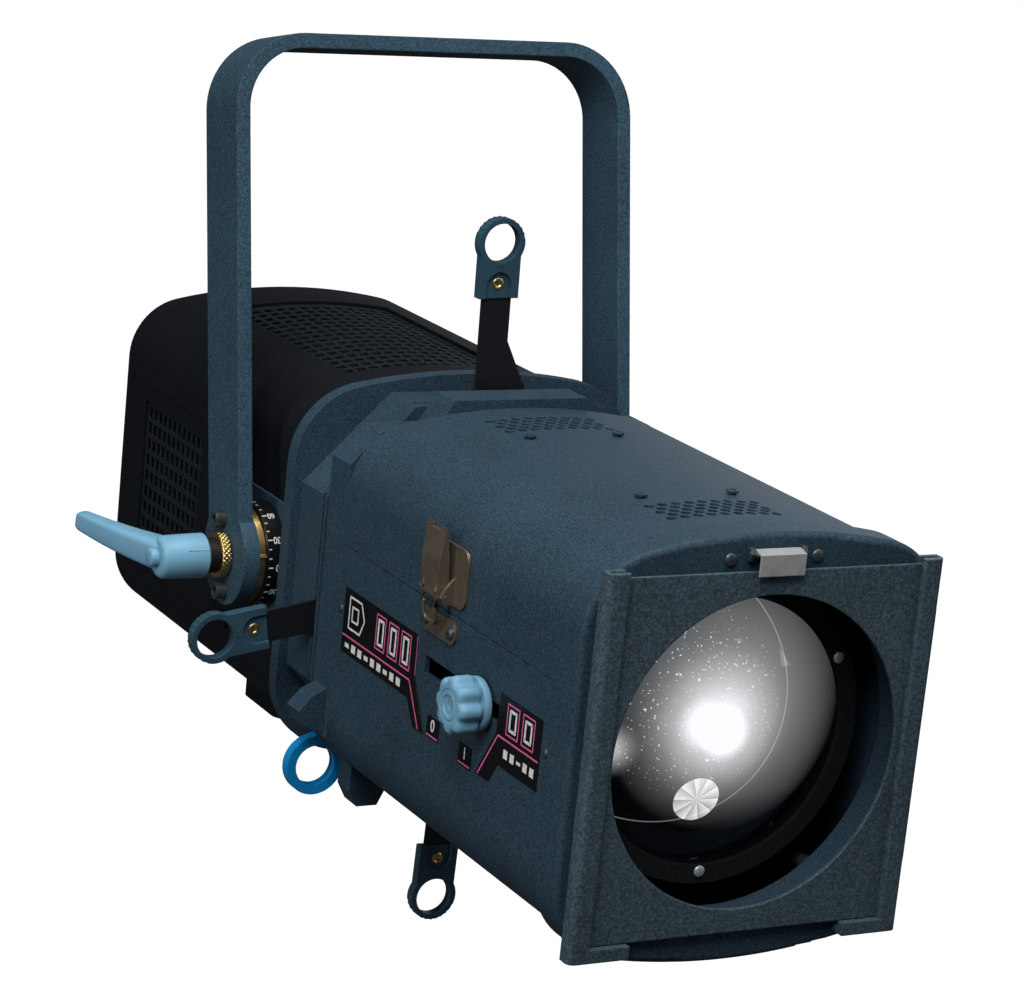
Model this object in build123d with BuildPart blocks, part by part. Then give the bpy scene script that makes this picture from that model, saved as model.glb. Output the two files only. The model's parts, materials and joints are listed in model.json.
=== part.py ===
from build123d import *
from math import asin, cos, radians, sin
import os

# Ellipsoidal (profile) spotlight, 1000 W class, hung from its yoke.
# Lamp axes: origin at the tilt pivot, X to the lamp's left-hand side seen from the front,
# Y along the beam towards the lamp house (the light leaves towards -Y), Z up.
# Row axes: origin in the middle of the yoke's suspension hole, yoke upright, lamp nose-down.

# ---- driving dimensions (mm, degrees) ----
lamp_tilt = 12.0            # how far the nose points down at rest

# yoke
yoke_bar = 8.0              # bar thickness
yoke_bar_width = 41.0
yoke_rise = 281.5           # pivot to the outside of the top bar
yoke_bend = 41.0            # outside radius of the two bends
arm_disc_radius = 27.5      # round end of each arm
arm_disc_step = 1.2         # the disc stands this far inside the arm
suspension_hole_radius = 6.5

# barrel and lamp house section
body_half_width = 97.5
yoke_half_width = body_half_width + 24.0  # outside of each arm from the middle
body_half_height = 103.5
body_crown = 14.5           # drop of the arched top and bottom at the side walls
body_corner = 38.0
barrel_wall = 3.0
house_wall = 2.0
ring_proud = 5.0            # the ring in front of the lamp house stands this far out
house_inset = 2.0           # the lamp house is this much smaller all round

# stations along the beam
bezel_front = -350.0
bezel_back = -330.0
barrel_back = -95.0
flange_back = -74.0
gate_front = -70.5
gate_back = -39.0
ring_back = -30.0
house_back = 208.0
cap_back = 223.0

seam_height = 32.3          # parting line of the hinged top cover
seam_gap = 0.5

# optics
beam_radius = 42.0
front_lens_radius = 68.0
rear_lens_radius = 60.0
front_carriage_y = -261.0
rear_carriage_y = -148.0
carriage_length = 28.0
front_tube_length = 75.0    # the front lens sits at the nose of a tube this long
rear_tube_length = 28.0
rod_radius = 4.0
rod_x = 64.0
rod_z = -76.0
running = 0.05              # radial clearance of a shaft in its hole
gap = 0.4                   # air between pieces of different bodies

# colour frame and runners
frame_side = 180.0
frame_thick = 2.0
frame_aperture = 78.5
runner_lip = 81.0           # half-width left open between the two runners
runner_outer = 92.4
runner_roll = 4.0           # outer front edge of a runner, rolled over
runner_lip_edge = 1.5       # its free edge
runner_foot = 60.0          # half-width left open between the feet that the frame stands on

# shutters
blade_thick = 1.2
blade_slot = 2.6
blade_half_width = 44.0
handle_thick = 6.0
handle_hole = 10.5
handle_rim = 3.2
handle_reach = 186.0        # centre of a handle's finger hole from the beam axis, blade open
left_blade_y = -67.4
top_blade_y = -62.9
bottom_blade_y = -58.4
right_blade_y = -53.9
side_blade_in = 30.0        # the side blades stand this far in at rest
side_blade_tilt = 9.0       # and are turned this much

# pivots
pivot_radius = 6.0
drum_radius = 29.0
drum_inner_x = body_half_width + 0.1
drum_outer_x = body_half_width + 10.5

# lamp adjustment
spindle_z = -32.0
spindle_radius = 3.0
guide_radius = 3.0
guide_x = 36.0

arm_inner_x = yoke_half_width - yoke_bar
ring_outer_x = arm_inner_x - arm_disc_step - 0.1
house_inner_x = body_half_width - house_inset - house_wall
house_inner_top = body_half_height - house_inset - house_wall
lamp_pose = Location((0, 0, -(yoke_rise - yoke_bar / 2))) * Location((0, 0, 0), (lamp_tilt, 0, 0))
pivot_place = Location((0, 0, -(yoke_rise - yoke_bar / 2)))

os.makedirs("parts", exist_ok=True)


def write(piece, label, place=lamp_pose):
    """Label a finished piece, set it in the row axes and write its STEP file."""
    placed = piece.part.moved(place)
    placed.label = label
    export_step(placed, f"parts/{label}.step")


def across(y):
    """Sketch plane square to the beam at station y: sketch x is X, sketch y is Z, normal is -Y."""
    return Plane(origin=(0, y, 0), x_dir=(1, 0, 0), z_dir=(0, -1, 0))


def side(x):
    """Sketch plane on the lamp's side at x: sketch x is Y, sketch y is Z, normal is +X."""
    return Plane(origin=(x, 0, 0), x_dir=(0, 1, 0), z_dir=(1, 0, 0))


def outline(half_width, half_height, corner):
    """Body section: upright sides, arched top and bottom, round corners."""
    edge = half_height - body_crown
    with BuildSketch() as section:
        with BuildLine():
            Line((half_width, -edge), (half_width, edge))
            ThreePointArc((half_width, edge), (0, half_height), (-half_width, edge))
            Line((-half_width, edge), (-half_width, -edge))
            ThreePointArc((-half_width, -edge), (0, -half_height), (half_width, -edge))
        make_face()
        fillet(section.vertices(), corner)
    return section.sketch


def inset_outline(inset):
    """The body section set in all round by inset."""
    return outline(body_half_width - inset, body_half_height - inset, body_corner - inset)


def octagon(half_width, half_height, corner_cut):
    """Plate section with four cut corners."""
    with BuildSketch() as section:
        face = Rectangle(2 * half_width, 2 * half_height)
        chamfer(face.vertices(), corner_cut)
    return section.sketch


# ================= yoke =================
top_middle = yoke_rise - yoke_bar / 2

with BuildPart() as yoke:
    with BuildSketch(Plane.XZ.offset(-yoke_bar_width / 2)):
        with BuildLine():
            FilletPolyline(
                (-yoke_half_width, -8), (-yoke_half_width, yoke_rise),
                (yoke_half_width, yoke_rise), (yoke_half_width, -8), radius=yoke_bend)
            Line((yoke_half_width, -8), (arm_inner_x, -8))
            FilletPolyline(
                (arm_inner_x, -8), (arm_inner_x, yoke_rise - yoke_bar),
                (-arm_inner_x, yoke_rise - yoke_bar), (-arm_inner_x, -8),
                radius=yoke_bend - yoke_bar)
            Line((-arm_inner_x, -8), (-yoke_half_width, -8))
        make_face()
    extrude(amount=yoke_bar_width)
    for s in (-1, 1):
        with BuildSketch(side(s * yoke_half_width)):
            Circle(arm_disc_radius)
        extrude(amount=-s * (yoke_bar + arm_disc_step))
        with BuildSketch(side(s * yoke_half_width)):
            Circle(pivot_radius + running)
        extrude(amount=-s * (yoke_bar + arm_disc_step), mode=Mode.SUBTRACT)
        with BuildSketch(side(s * yoke_half_width)):
            with Locations((0, 19.5), (0, -19.5)):
                Circle(3)
        extrude(amount=-s * 5, mode=Mode.SUBTRACT)
    with Locations((0, 0, yoke_rise)):
        Hole(suspension_hole_radius, depth=yoke_bar)
    rim = yoke.edges().filter_by(GeomType.CIRCLE).filter_by(
        lambda e: abs(e.radius - suspension_hole_radius) < 0.01)
    chamfer(rim, 0.6)
write(yoke, "yoke", pivot_place)

with BuildPart() as arm_bolts:
    for s in (-1, 1):
        with BuildSketch(side(s * yoke_half_width)):
            with Locations((0, 19.5), (0, -19.5)):
                Circle(4.6)
        extrude(amount=s * 6)
        with BuildSketch(side(s * (yoke_half_width + 6))):
            with Locations((0, 19.5), (0, -19.5)):
                RegularPolygon(2.6, 6)
        extrude(amount=-s * 3.5, mode=Mode.SUBTRACT)
        with BuildSketch(side(s * yoke_half_width)):
            with Locations((0, 19.5), (0, -19.5)):
                Circle(3)
        extrude(amount=-s * 5)
write(arm_bolts, "arm_bolts", pivot_place)

# brass rings on the inside of the arms' discs, the left one with a pointer
with BuildPart() as tilt_rings:
    with BuildSketch(side(-ring_outer_x)):
        Circle(arm_disc_radius - 0.7)
        Circle(pivot_radius + running, mode=Mode.SUBTRACT)
    extrude(amount=ring_outer_x - drum_outer_x - gap)
    with BuildSketch(side(-ring_outer_x)):
        with Locations((-arm_disc_radius + 1.5, 0)):
            Polygon((-2.6, 0), (1.5, 3.2), (1.5, -3.2), align=None)
    extrude(amount=ring_outer_x - drum_outer_x - gap)
    with BuildSketch(side(ring_outer_x)):
        Circle(arm_disc_radius - 0.7)
        Circle(pivot_radius + running, mode=Mode.SUBTRACT)
    extrude(amount=-(ring_outer_x - drum_outer_x - gap))
write(tilt_rings, "tilt_rings", pivot_place)

# ================= clamping lever, on the left pivot stud =================
lever_start = yoke_half_width + gap
nut_length = 5.5
sleeve_length = 6.5
hub_length = 27.0
hub_start = lever_start + nut_length + sleeve_length
hub_end = hub_start + hub_length
stud_end = hub_start + 12
lever_tip = (-(hub_end + 22), 50.0, 17.0)

with BuildPart() as knurled_nut:
    with BuildSketch(side(-lever_start)):
        Circle(12.6)
        with PolarLocations(12.9, 30):
            Rectangle(1.1, 1.1, rotation=45, mode=Mode.SUBTRACT)
        Circle(pivot_radius + running, mode=Mode.SUBTRACT)
    extrude(amount=-nut_length)
write(knurled_nut, "knurled_nut", pivot_place)

with BuildPart() as lever_sleeve:
    with BuildSketch(side(-(lever_start + nut_length))):
        Circle(9.6)
        Circle(pivot_radius + running, mode=Mode.SUBTRACT)
    extrude(amount=-sleeve_length)
write(lever_sleeve, "lever_sleeve", pivot_place)

with BuildPart() as clamp_lever:
    with BuildSketch(side(-hub_start)):
        Circle(12.2)
    with BuildSketch(side(-hub_end)):
        Circle(11.2)
    loft()
    arm_root = Vector(-(hub_end - 10), 0, 0)
    arm_line = Vector(*lever_tip) - arm_root
    with BuildSketch(Plane(origin=arm_root, x_dir=(1, 0, 0), z_dir=arm_line)):
        Ellipse(8.5, 9.5)
    with BuildSketch(Plane(origin=lever_tip, x_dir=(1, 0, 0), z_dir=arm_line)):
        Ellipse(4.2, 6.0)
    loft()
    with Locations(lever_tip):
        Sphere(5.0)
    with BuildSketch(side(-hub_start)):
        Circle(pivot_radius + running)
    extrude(amount=-(stud_end - hub_start + 1), mode=Mode.SUBTRACT)
    with BuildSketch(side(-hub_end)):
        Circle(6.0)
    extrude(amount=5, mode=Mode.SUBTRACT)
write(clamp_lever, "clamp_lever", pivot_place)

# ================= tilt pivots on the lamp =================
with BuildPart() as tilt_drums:
    for s in (-1, 1):
        with BuildSketch(side(s * drum_inner_x)):
            Circle(drum_radius)
            Circle(pivot_radius, mode=Mode.SUBTRACT)
        extrude(amount=s * (drum_outer_x - drum_inner_x))
write(tilt_drums, "tilt_drums")

bracket_thick = 2.0
bracket_x = drum_inner_x - bracket_thick
with BuildPart() as pivot_brackets:
    for s in (-1, 1):
        with BuildSketch(side(s * bracket_x)):
            with Locations((2, 0)):
                Rectangle(54, 66)
            Circle(pivot_radius, mode=Mode.SUBTRACT)
        extrude(amount=s * bracket_thick)
write(pivot_brackets, "pivot_brackets")

nut_thick = 5.0
right_stud_end = lever_start + 9
with BuildPart() as pivot_studs:
    for s, end_x in ((-1, stud_end), (1, right_stud_end)):
        with BuildSketch(side(s * (house_inner_x - nut_thick))):
            RegularPolygon(11, 6)
        extrude(amount=s * nut_thick)
        with BuildSketch(side(s * house_inner_x)):
            Circle(pivot_radius)
        extrude(amount=s * (end_x - house_inner_x))
    with BuildSketch(side(lever_start)):
        RegularPolygon(11, 6)
        Circle(pivot_radius, mode=Mode.SUBTRACT)
    extrude(amount=8)
write(pivot_studs, "pivot_studs")

# ================= lamp house =================
vent_back = 186.0
vent_front = 98.0
side_vent_z = 40.0
top_vent_x = 52.0
top_vent_front = 12.0
top_vent_back = 176.0
grille_thick = 1.2

with BuildPart() as house_shell:
    with BuildSketch(across(house_back)):
        add(inset_outline(house_inset))
        add(inset_outline(house_inset + house_wall), mode=Mode.SUBTRACT)
    extrude(amount=house_back - ring_back)
    for s in (-1, 1):
        with BuildSketch(side(s * (body_half_width - house_inset + 2))):
            with Locations(((vent_front + vent_back) / 2, 0)):
                Rectangle(vent_back - vent_front, 2 * side_vent_z)
        extrude(amount=-s * 10, mode=Mode.SUBTRACT)
        with BuildSketch(side(s * bracket_x)):
            Circle(pivot_radius)
        extrude(amount=-s * 8, mode=Mode.SUBTRACT)
    with BuildSketch(Plane.XY.offset(body_half_height + 2)):
        with Locations((0, (top_vent_front + top_vent_back) / 2)):
            Rectangle(2 * top_vent_x, top_vent_back - top_vent_front)
    extrude(amount=-20, mode=Mode.SUBTRACT)
    # folded ridges along each side, above and below the vent
    for s in (-1, 1):
        for z in (58, -58):
            with BuildSketch(side(s * (body_half_width - house_inset))):
                with Locations((125, z * 0.93)):
                    Rectangle(160, 7)
            extrude(amount=s * 1.6)
write(house_shell, "house_shell")


grille_top = house_inner_top - 0.1
grille_half = top_vent_x + 4
crown_radius = (house_inner_x ** 2 + body_crown ** 2) / (2 * body_crown)
grille_drop = grille_half ** 2 / (2 * crown_radius)
baffle_x = 80.0
baffle_z = 86.0
baffle_thick = 1.0
side_grille_y = (vent_front + vent_back) / 2
side_grille_long = vent_back - vent_front + 8
side_grille_half = side_vent_z + 4
with BuildPart() as house_grilles:
    with BuildSketch(across(top_vent_back + 4)):
        with BuildLine():
            ThreePointArc((-grille_half, grille_top - grille_drop), (0, grille_top),
                          (grille_half, grille_top - grille_drop))
            Line((grille_half, grille_top - grille_drop),
                 (grille_half, grille_top - grille_drop - grille_thick))
            ThreePointArc((grille_half, grille_top - grille_drop - grille_thick),
                          (0, grille_top - grille_thick),
                          (-grille_half, grille_top - grille_drop - grille_thick))
            Line((-grille_half, grille_top - grille_drop - grille_thick),
                 (-grille_half, grille_top - grille_drop))
        make_face()
    extrude(amount=top_vent_back - top_vent_front + 8)
    with BuildSketch(Plane.XY.offset(body_half_height)):
        with Locations((0, (top_vent_front + top_vent_back) / 2)):
            with GridLocations(7.6, 9.6, 13, 16):
                Rectangle(5.4, 6.6)
    extrude(amount=-20, mode=Mode.SUBTRACT)
    # light baffles stand behind the mesh on two flanges each
    edge_top = grille_top - grille_drop - grille_thick
    with BuildSketch(across(top_vent_back)):
        with Locations((0, baffle_z + baffle_thick / 2)):
            Rectangle(2 * grille_half, baffle_thick)
        for x in (-grille_half + baffle_thick / 2, grille_half - baffle_thick / 2):
            with Locations((x, (baffle_z + edge_top + 0.3) / 2)):
                Rectangle(baffle_thick, edge_top + 0.3 - baffle_z)
    extrude(amount=top_vent_back - top_vent_front)
    for s in (-1, 1):
        with BuildSketch(side(s * house_inner_x)):
            with Locations((side_grille_y, 0)):
                Rectangle(side_grille_long, 2 * side_grille_half)
                with GridLocations(7.2, 9.6, 12, 8):
                    Rectangle(5.0, 6.6, mode=Mode.SUBTRACT)
        extrude(amount=-s * grille_thick)
        with BuildSketch(side(s * baffle_x)):
            with Locations((side_grille_y, 0)):
                Rectangle(side_grille_long, 2 * side_grille_half)
        extrude(amount=s * baffle_thick)
        with BuildSketch(side(s * baffle_x)):
            with Locations((side_grille_y, side_grille_half - baffle_thick / 2),
                           (side_grille_y, -side_grille_half + baffle_thick / 2)):
                Rectangle(side_grille_long, baffle_thick)
        extrude(amount=s * (house_inner_x - baffle_x))
write(house_grilles, "house_grilles")

with BuildPart() as front_ring:
    with BuildSketch(across(ring_back)):
        add(inset_outline(-ring_proud))
    extrude(amount=ring_back - gate_back)
    with BuildSketch(across(ring_back)):
        Circle(beam_radius + 38)
    extrude(amount=ring_back - gate_back, mode=Mode.SUBTRACT)
write(front_ring, "front_ring")

with BuildPart() as rear_cap:
    with BuildSketch(across(cap_back)):
        add(inset_outline(house_inset))
    extrude(amount=cap_back - house_back)
    fillet(rear_cap.faces().sort_by(Axis.Y)[-1].edges(), 8)
    with BuildSketch(across(cap_back - house_wall)):
        add(inset_outline(house_inset + house_wall + 6))
    extrude(amount=cap_back - house_back, mode=Mode.SUBTRACT)
    with BuildSketch(across(cap_back)):
        with GridLocations(0, 13, 1, 9):
            SlotOverall(120, 5)
        with Locations((0, spindle_z)):
            Circle(26)
    extrude(amount=house_wall, mode=Mode.SUBTRACT)
    with BuildSketch(across(cap_back)):
        with Locations((0, spindle_z)):
            Circle(28)
            Circle(spindle_radius + running, mode=Mode.SUBTRACT)
    extrude(amount=house_wall)
write(rear_cap, "rear_cap")

# ================= reflector, lamp and its carrier =================
reflector_mouth = 82.0
reflector_depth = 142.0
reflector_thick = 1.5
neck_radius = 20.0

with BuildPart() as reflector:
    with BuildSketch(Plane.XY):
        with Locations((0, ring_back)):
            Ellipse(reflector_mouth, reflector_depth)
            Ellipse(reflector_mouth - reflector_thick, reflector_depth - reflector_thick,
                    mode=Mode.SUBTRACT)
        with Locations((reflector_mouth + 2, ring_back + 0.75)):
            Rectangle(8, 1.5)
        with Locations((0, ring_back - reflector_depth)):
            Rectangle(400, 2 * reflector_depth, mode=Mode.SUBTRACT)
        with Locations((neck_radius / 2 - 100, 0)):
            Rectangle(200 + neck_radius, 600, mode=Mode.SUBTRACT)
    revolve(axis=Axis.Y)
write(reflector, "reflector")

socket_front = 112.0
socket_back = 140.0
carrier_thick = 2.5
carrier_radius = 46.0

with BuildPart() as lamp_socket:
    with BuildSketch(across(socket_back)):
        Circle(17)
    extrude(amount=socket_back - socket_front)
    with BuildSketch(across(socket_front)):
        with Locations((-4.75, 0), (4.75, 0)):
            Circle(1.7)
    extrude(amount=-12, mode=Mode.SUBTRACT)
write(lamp_socket, "lamp_socket")

with BuildPart() as lamp_base:
    with BuildSketch(across(socket_front)):
        SlotOverall(24, 15)
    extrude(amount=22)
    with BuildSketch(across(socket_front)):
        with Locations((-4.75, 0), (4.75, 0)):
            Circle(1.6)
    extrude(amount=-10)
write(lamp_base, "lamp_base")

bulb_back = socket_front - 22
bulb_front = 36.0
bulb_radius = 10.5
with BuildPart() as lamp_bulb:
    with BuildSketch(Plane.XY):
        with BuildLine():
            Polyline((0, bulb_back), (bulb_radius, bulb_back), (bulb_radius, bulb_front + bulb_radius))
            RadiusArc((bulb_radius, bulb_front + bulb_radius), (0, bulb_front), bulb_radius)
            Line((0, bulb_front), (0, bulb_back))
        make_face()
        offset(amount=-1.0, mode=Mode.SUBTRACT)
    revolve(axis=Axis.Y)
write(lamp_bulb, "lamp_bulb")

with BuildPart() as lamp_carrier:
    with BuildSketch(across(socket_back + carrier_thick)):
        Circle(carrier_radius)
        with Locations((0, spindle_z)):
            Circle(9)
            Circle(spindle_radius + running, mode=Mode.SUBTRACT)
        with Locations((-guide_x, 0), (guide_x, 0)):
            Circle(guide_radius + running, mode=Mode.SUBTRACT)
    extrude(amount=carrier_thick)
write(lamp_carrier, "lamp_carrier")

# cross bars that carry the guide posts, inside the lamp house
bar_half = baffle_x
bar_thick = 2.0
front_bar_y = 104.0
rear_bar_y = 170.0
with BuildPart() as carrier_frame:
    with BuildSketch(across(front_bar_y)):
        Rectangle(2 * bar_half, 30)
        Circle(neck_radius + 10, mode=Mode.SUBTRACT)
    extrude(amount=bar_thick)
    with BuildSketch(across(rear_bar_y)):
        Rectangle(2 * bar_half, 24)
        Circle(16, mode=Mode.SUBTRACT)
    extrude(amount=bar_thick)
    with BuildSketch(across(rear_bar_y - bar_thick)):
        with Locations((-guide_x, 0), (guide_x, 0)):
            Circle(guide_radius)
    extrude(amount=rear_bar_y - bar_thick - front_bar_y)
write(carrier_frame, "carrier_frame")

knob_gap = 3.0
knob_length = 13.0
with BuildPart() as adjust_knob:
    with BuildSketch(across(cap_back + knob_gap + knob_length)):
        with Locations((0, spindle_z)):
            Circle(13)
            with PolarLocations(14.4, 10):
                Circle(2.4, mode=Mode.SUBTRACT)
    extrude(amount=knob_length)
    with BuildSketch(across(cap_back + knob_gap)):
        with Locations((0, spindle_z)):
            Circle(8)
    extrude(amount=knob_gap - gap)
    with BuildSketch(across(cap_back + knob_gap)):
        with Locations((0, spindle_z)):
            Circle(spindle_radius)
    extrude(amount=cap_back + knob_gap - 128)
write(adjust_knob, "adjust_knob")

with BuildPart() as terminal_box:
    with BuildSketch(Plane.XY.offset(-(body_half_height - house_inset) + 4)):
        with Locations((0, 66)):
            RectangleRounded(124, 52, 8)
    extrude(amount=-15)
    with BuildSketch(across(house_back)):
        add(inset_outline(house_inset))
    extrude(amount=house_back - ring_back, mode=Mode.SUBTRACT)
write(terminal_box, "terminal_box")

with BuildPart() as cable_gland:
    with BuildSketch(across(92)):
        with Locations((30, -(body_half_height - house_inset) - 5.2)):
            Circle(5.6)
            Circle(3.6, mode=Mode.SUBTRACT)
    extrude(amount=-16)
write(cable_gland, "cable_gland")

# ================= gate =================
with BuildPart() as gate_housing:
    with BuildSketch(across(gate_back)):
        add(octagon(body_half_width - 0.5, 99, 48))
        Circle(62, mode=Mode.SUBTRACT)
    extrude(amount=11)
    with BuildSketch(across(gate_back - 11)):
        add(octagon(body_half_width - 0.5, 99, 48))
        Circle(beam_radius, mode=Mode.SUBTRACT)
    extrude(amount=gate_back - 11 - gate_front)
    # one pocket for each blade, open on the side that its handle comes out of
    for y, x_low, x_high, z_low, z_high in (
            (left_blade_y, -110, 56, -62, 52), (right_blade_y, -56, 110, -62, 52),
            (top_blade_y, -48, 52, -56, 110), (bottom_blade_y, -48, 52, -110, 56)):
        with BuildSketch(across(y + blade_slot / 2)):
            with Locations(((x_low + x_high) / 2, (z_low + z_high) / 2)):
                Rectangle(x_high - x_low, z_high - z_low)
        extrude(amount=blade_slot, mode=Mode.SUBTRACT)
write(gate_housing, "gate_housing")

with BuildPart() as aperture_plate:
    with BuildSketch(across(gate_back - 8)):
        Circle(61.8)
        Circle(38, mode=Mode.SUBTRACT)
    extrude(amount=2)
write(aperture_plate, "aperture_plate")

with BuildPart() as gate_posts:
    with BuildSketch(across(gate_front)):
        with GridLocations(184, 80, 2, 2):
            Circle(3.5)
    extrude(amount=gate_front - flange_back)
write(gate_posts, "gate_posts")

with BuildPart() as barrel_flange:
    with BuildSketch(across(flange_back)):
        add(octagon(body_half_width, 92, 17))
        with Locations((0, 98)):
            Trapezoid(104, 20, 58)
        with Locations((0, -98)):
            Trapezoid(104, 20, 58, rotation=180)
        Circle(66, mode=Mode.SUBTRACT)
    extrude(amount=flange_back - barrel_back)
write(barrel_flange, "barrel_flange")

with BuildPart() as flange_lugs:
    for s in (-1, 1):
        with BuildSketch(across(flange_back - 3)):
            Polygon((s * 97.5, -48), (s * 106, -52), (s * 113, -60), (s * 110, -68),
                    (s * 97.5, -73), align=None)
            Polygon((s * 58, -107.9), (s * 62, -116), (s * 74, -116), (s * 79, -107), (s * 79, -92),
                    (s * 58, -92), align=None)
        extrude(amount=15)
    with BuildSketch(across(flange_back)):
        add(octagon(body_half_width, 92, 17))
    extrude(amount=flange_back - barrel_back, mode=Mode.SUBTRACT)
write(flange_lugs, "flange_lugs")

# iris control ring with its coloured finger loop
iris_y = (gate_front + flange_back) / 2
with BuildPart() as iris_ring:
    with BuildSketch(across(iris_y + 1)):
        Circle(93)
        Circle(58, mode=Mode.SUBTRACT)
        with Locations(Location((0, 0), 227)):
            with Locations((104, 0)):
                Rectangle(26, 20)
    extrude(amount=2)
write(iris_ring, "iris_ring")

with BuildPart() as iris_handle:
    loop_plane = Plane(origin=(0, iris_y + 1, 0), x_dir=(cos(radians(227)), 0, sin(radians(227))),
                       z_dir=(0, -1, 0))
    with BuildSketch(loop_plane.offset(-4.2)):
        with Locations((134, 0)):
            Circle(16.5)
        Polygon((117, -9.8), (117, 9.8), (130, 16.2), (146, 0), (130, -16.2), align=None)
        with Locations((134, 0)):
            Circle(11.2, mode=Mode.SUBTRACT)
    extrude(amount=6.2)
write(iris_handle, "iris_handle")


# ================= shutters =================
def shutter_plane(y, angle, pushed_in):
    """Blade plane at station y: sketch x points out of the lamp at the given angle."""
    out = Vector(cos(radians(angle)), 0, sin(radians(angle)))
    return Plane(origin=Vector(0, y, 0) - out * pushed_in, x_dir=out, z_dir=(0, -1, 0))


blade_inner = 43.0
blade_outer = 86.0
strap_half = 8.8
strap_end = handle_reach - 14.5
grip_depth = 15.5            # how far the handle is pushed over the blade's strap
shutters = {
    "top": (top_blade_y, 91.5, 0),
    "bottom": (bottom_blade_y, -91.5, 0),
    "left": (left_blade_y, 180 + side_blade_tilt, side_blade_in),
    "right": (right_blade_y, -side_blade_tilt, side_blade_in),
}
for name, (blade_y, angle, pushed_in) in shutters.items():
    plane = shutter_plane(blade_y, angle, pushed_in)
    flip = -1 if name in ("top", "right") else 1
    with BuildPart() as blade:
        with BuildSketch(plane.offset(-blade_thick / 2)):
            with Locations(((blade_inner + blade_outer) / 2, 0)):
                Rectangle(blade_outer - blade_inner, 2 * blade_half_width)
            Polygon((blade_outer, -19 * flip), (blade_outer + 16, -13 * flip),
                    (blade_outer + 22, -strap_half * flip), (strap_end, -strap_half * flip),
                    (strap_end, strap_half * flip), (blade_outer + 46, strap_half * flip),
                    (blade_outer + 14, 24 * flip), (blade_outer + 6, 32 * flip),
                    (blade_outer, 32 * flip), align=None)
            with Locations((strap_end - 9, 0)):
                Circle(2.0, mode=Mode.SUBTRACT)
        extrude(amount=blade_thick)
    write(blade, f"shutter_blade_{name}")

    with BuildPart() as loop:
        with BuildSketch(plane.offset(-handle_thick / 2)):
            with Locations((handle_reach, 0)):
                Circle(handle_hole + handle_rim)
            with Locations(((strap_end - grip_depth + handle_reach) / 2, 0)):
                Rectangle(handle_reach - strap_end + grip_depth, 2 * (handle_hole + 1.2))
            with Locations((handle_reach, 0)):
                Circle(handle_hole, mode=Mode.SUBTRACT)
                with PolarLocations(handle_hole + handle_rim + 0.6, 11, start_angle=-75,
                                    angular_range=150):
                    Rectangle(1.8, 2.4, mode=Mode.SUBTRACT)
        extrude(amount=handle_thick)
        with BuildSketch(plane.offset(-blade_thick / 2)):
            with Locations((strap_end - grip_depth / 2, 0)):
                Rectangle(grip_depth, 2 * strap_half)
        extrude(amount=blade_thick, mode=Mode.SUBTRACT)
        with BuildSketch(plane.offset(blade_thick / 2 + 0.9)):
            with Locations((strap_end - 18, 0)):
                Rectangle(18, 2 * 7.6)
            with Locations((strap_end - 9, 0)):
                Circle(7.6)
        extrude(amount=handle_thick, mode=Mode.SUBTRACT)
        with BuildSketch(plane.offset(-handle_thick / 2)):
            with Locations((strap_end - 9, 0)):
                Circle(2.0)
        extrude(amount=handle_thick, mode=Mode.SUBTRACT)
    write(loop, f"shutter_handle_{name}")


# ================= lens carriages
stem_radius = 4.0
knob_face_x = 116.5
knob_hub_x = body_half_width + 1.2
tube_wall = 10.0
lens_edge = 5.0
lens_bulge = 19.0
lens_seat = 2.0


def carriage_faces(y, lens_radius, knob_side):
    """Sections of a lens carriage: sliding ring with two ears, tube, lens seat and knob stem."""
    back = y + carriage_length / 2
    tube_radius = lens_radius + tube_wall
    with BuildSketch(across(back)) as ring:
        Circle(tube_radius)
        for s in (-1, 1):
            with Locations((s * rod_x * 0.8, rod_z * 0.8)):
                Rectangle(36, 13, rotation=-50 * s)
            with Locations((s * rod_x, rod_z)):
                Circle(8)
        Circle(lens_radius + 0.3, mode=Mode.SUBTRACT)
        with Locations((rod_x, rod_z), (-rod_x, rod_z)):
            Circle(rod_radius + running, mode=Mode.SUBTRACT)
    with BuildSketch(across(back)) as tube:
        Circle(tube_radius)
        Circle(lens_radius + 0.3, mode=Mode.SUBTRACT)
    with BuildSketch(Plane(origin=(knob_side * (tube_radius - 4), y, 0), x_dir=(0, 1, 0),
                           z_dir=(knob_side, 0, 0))) as stem:
        Circle(stem_radius)
    return ring.sketch, tube.sketch, stem.sketch


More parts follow.
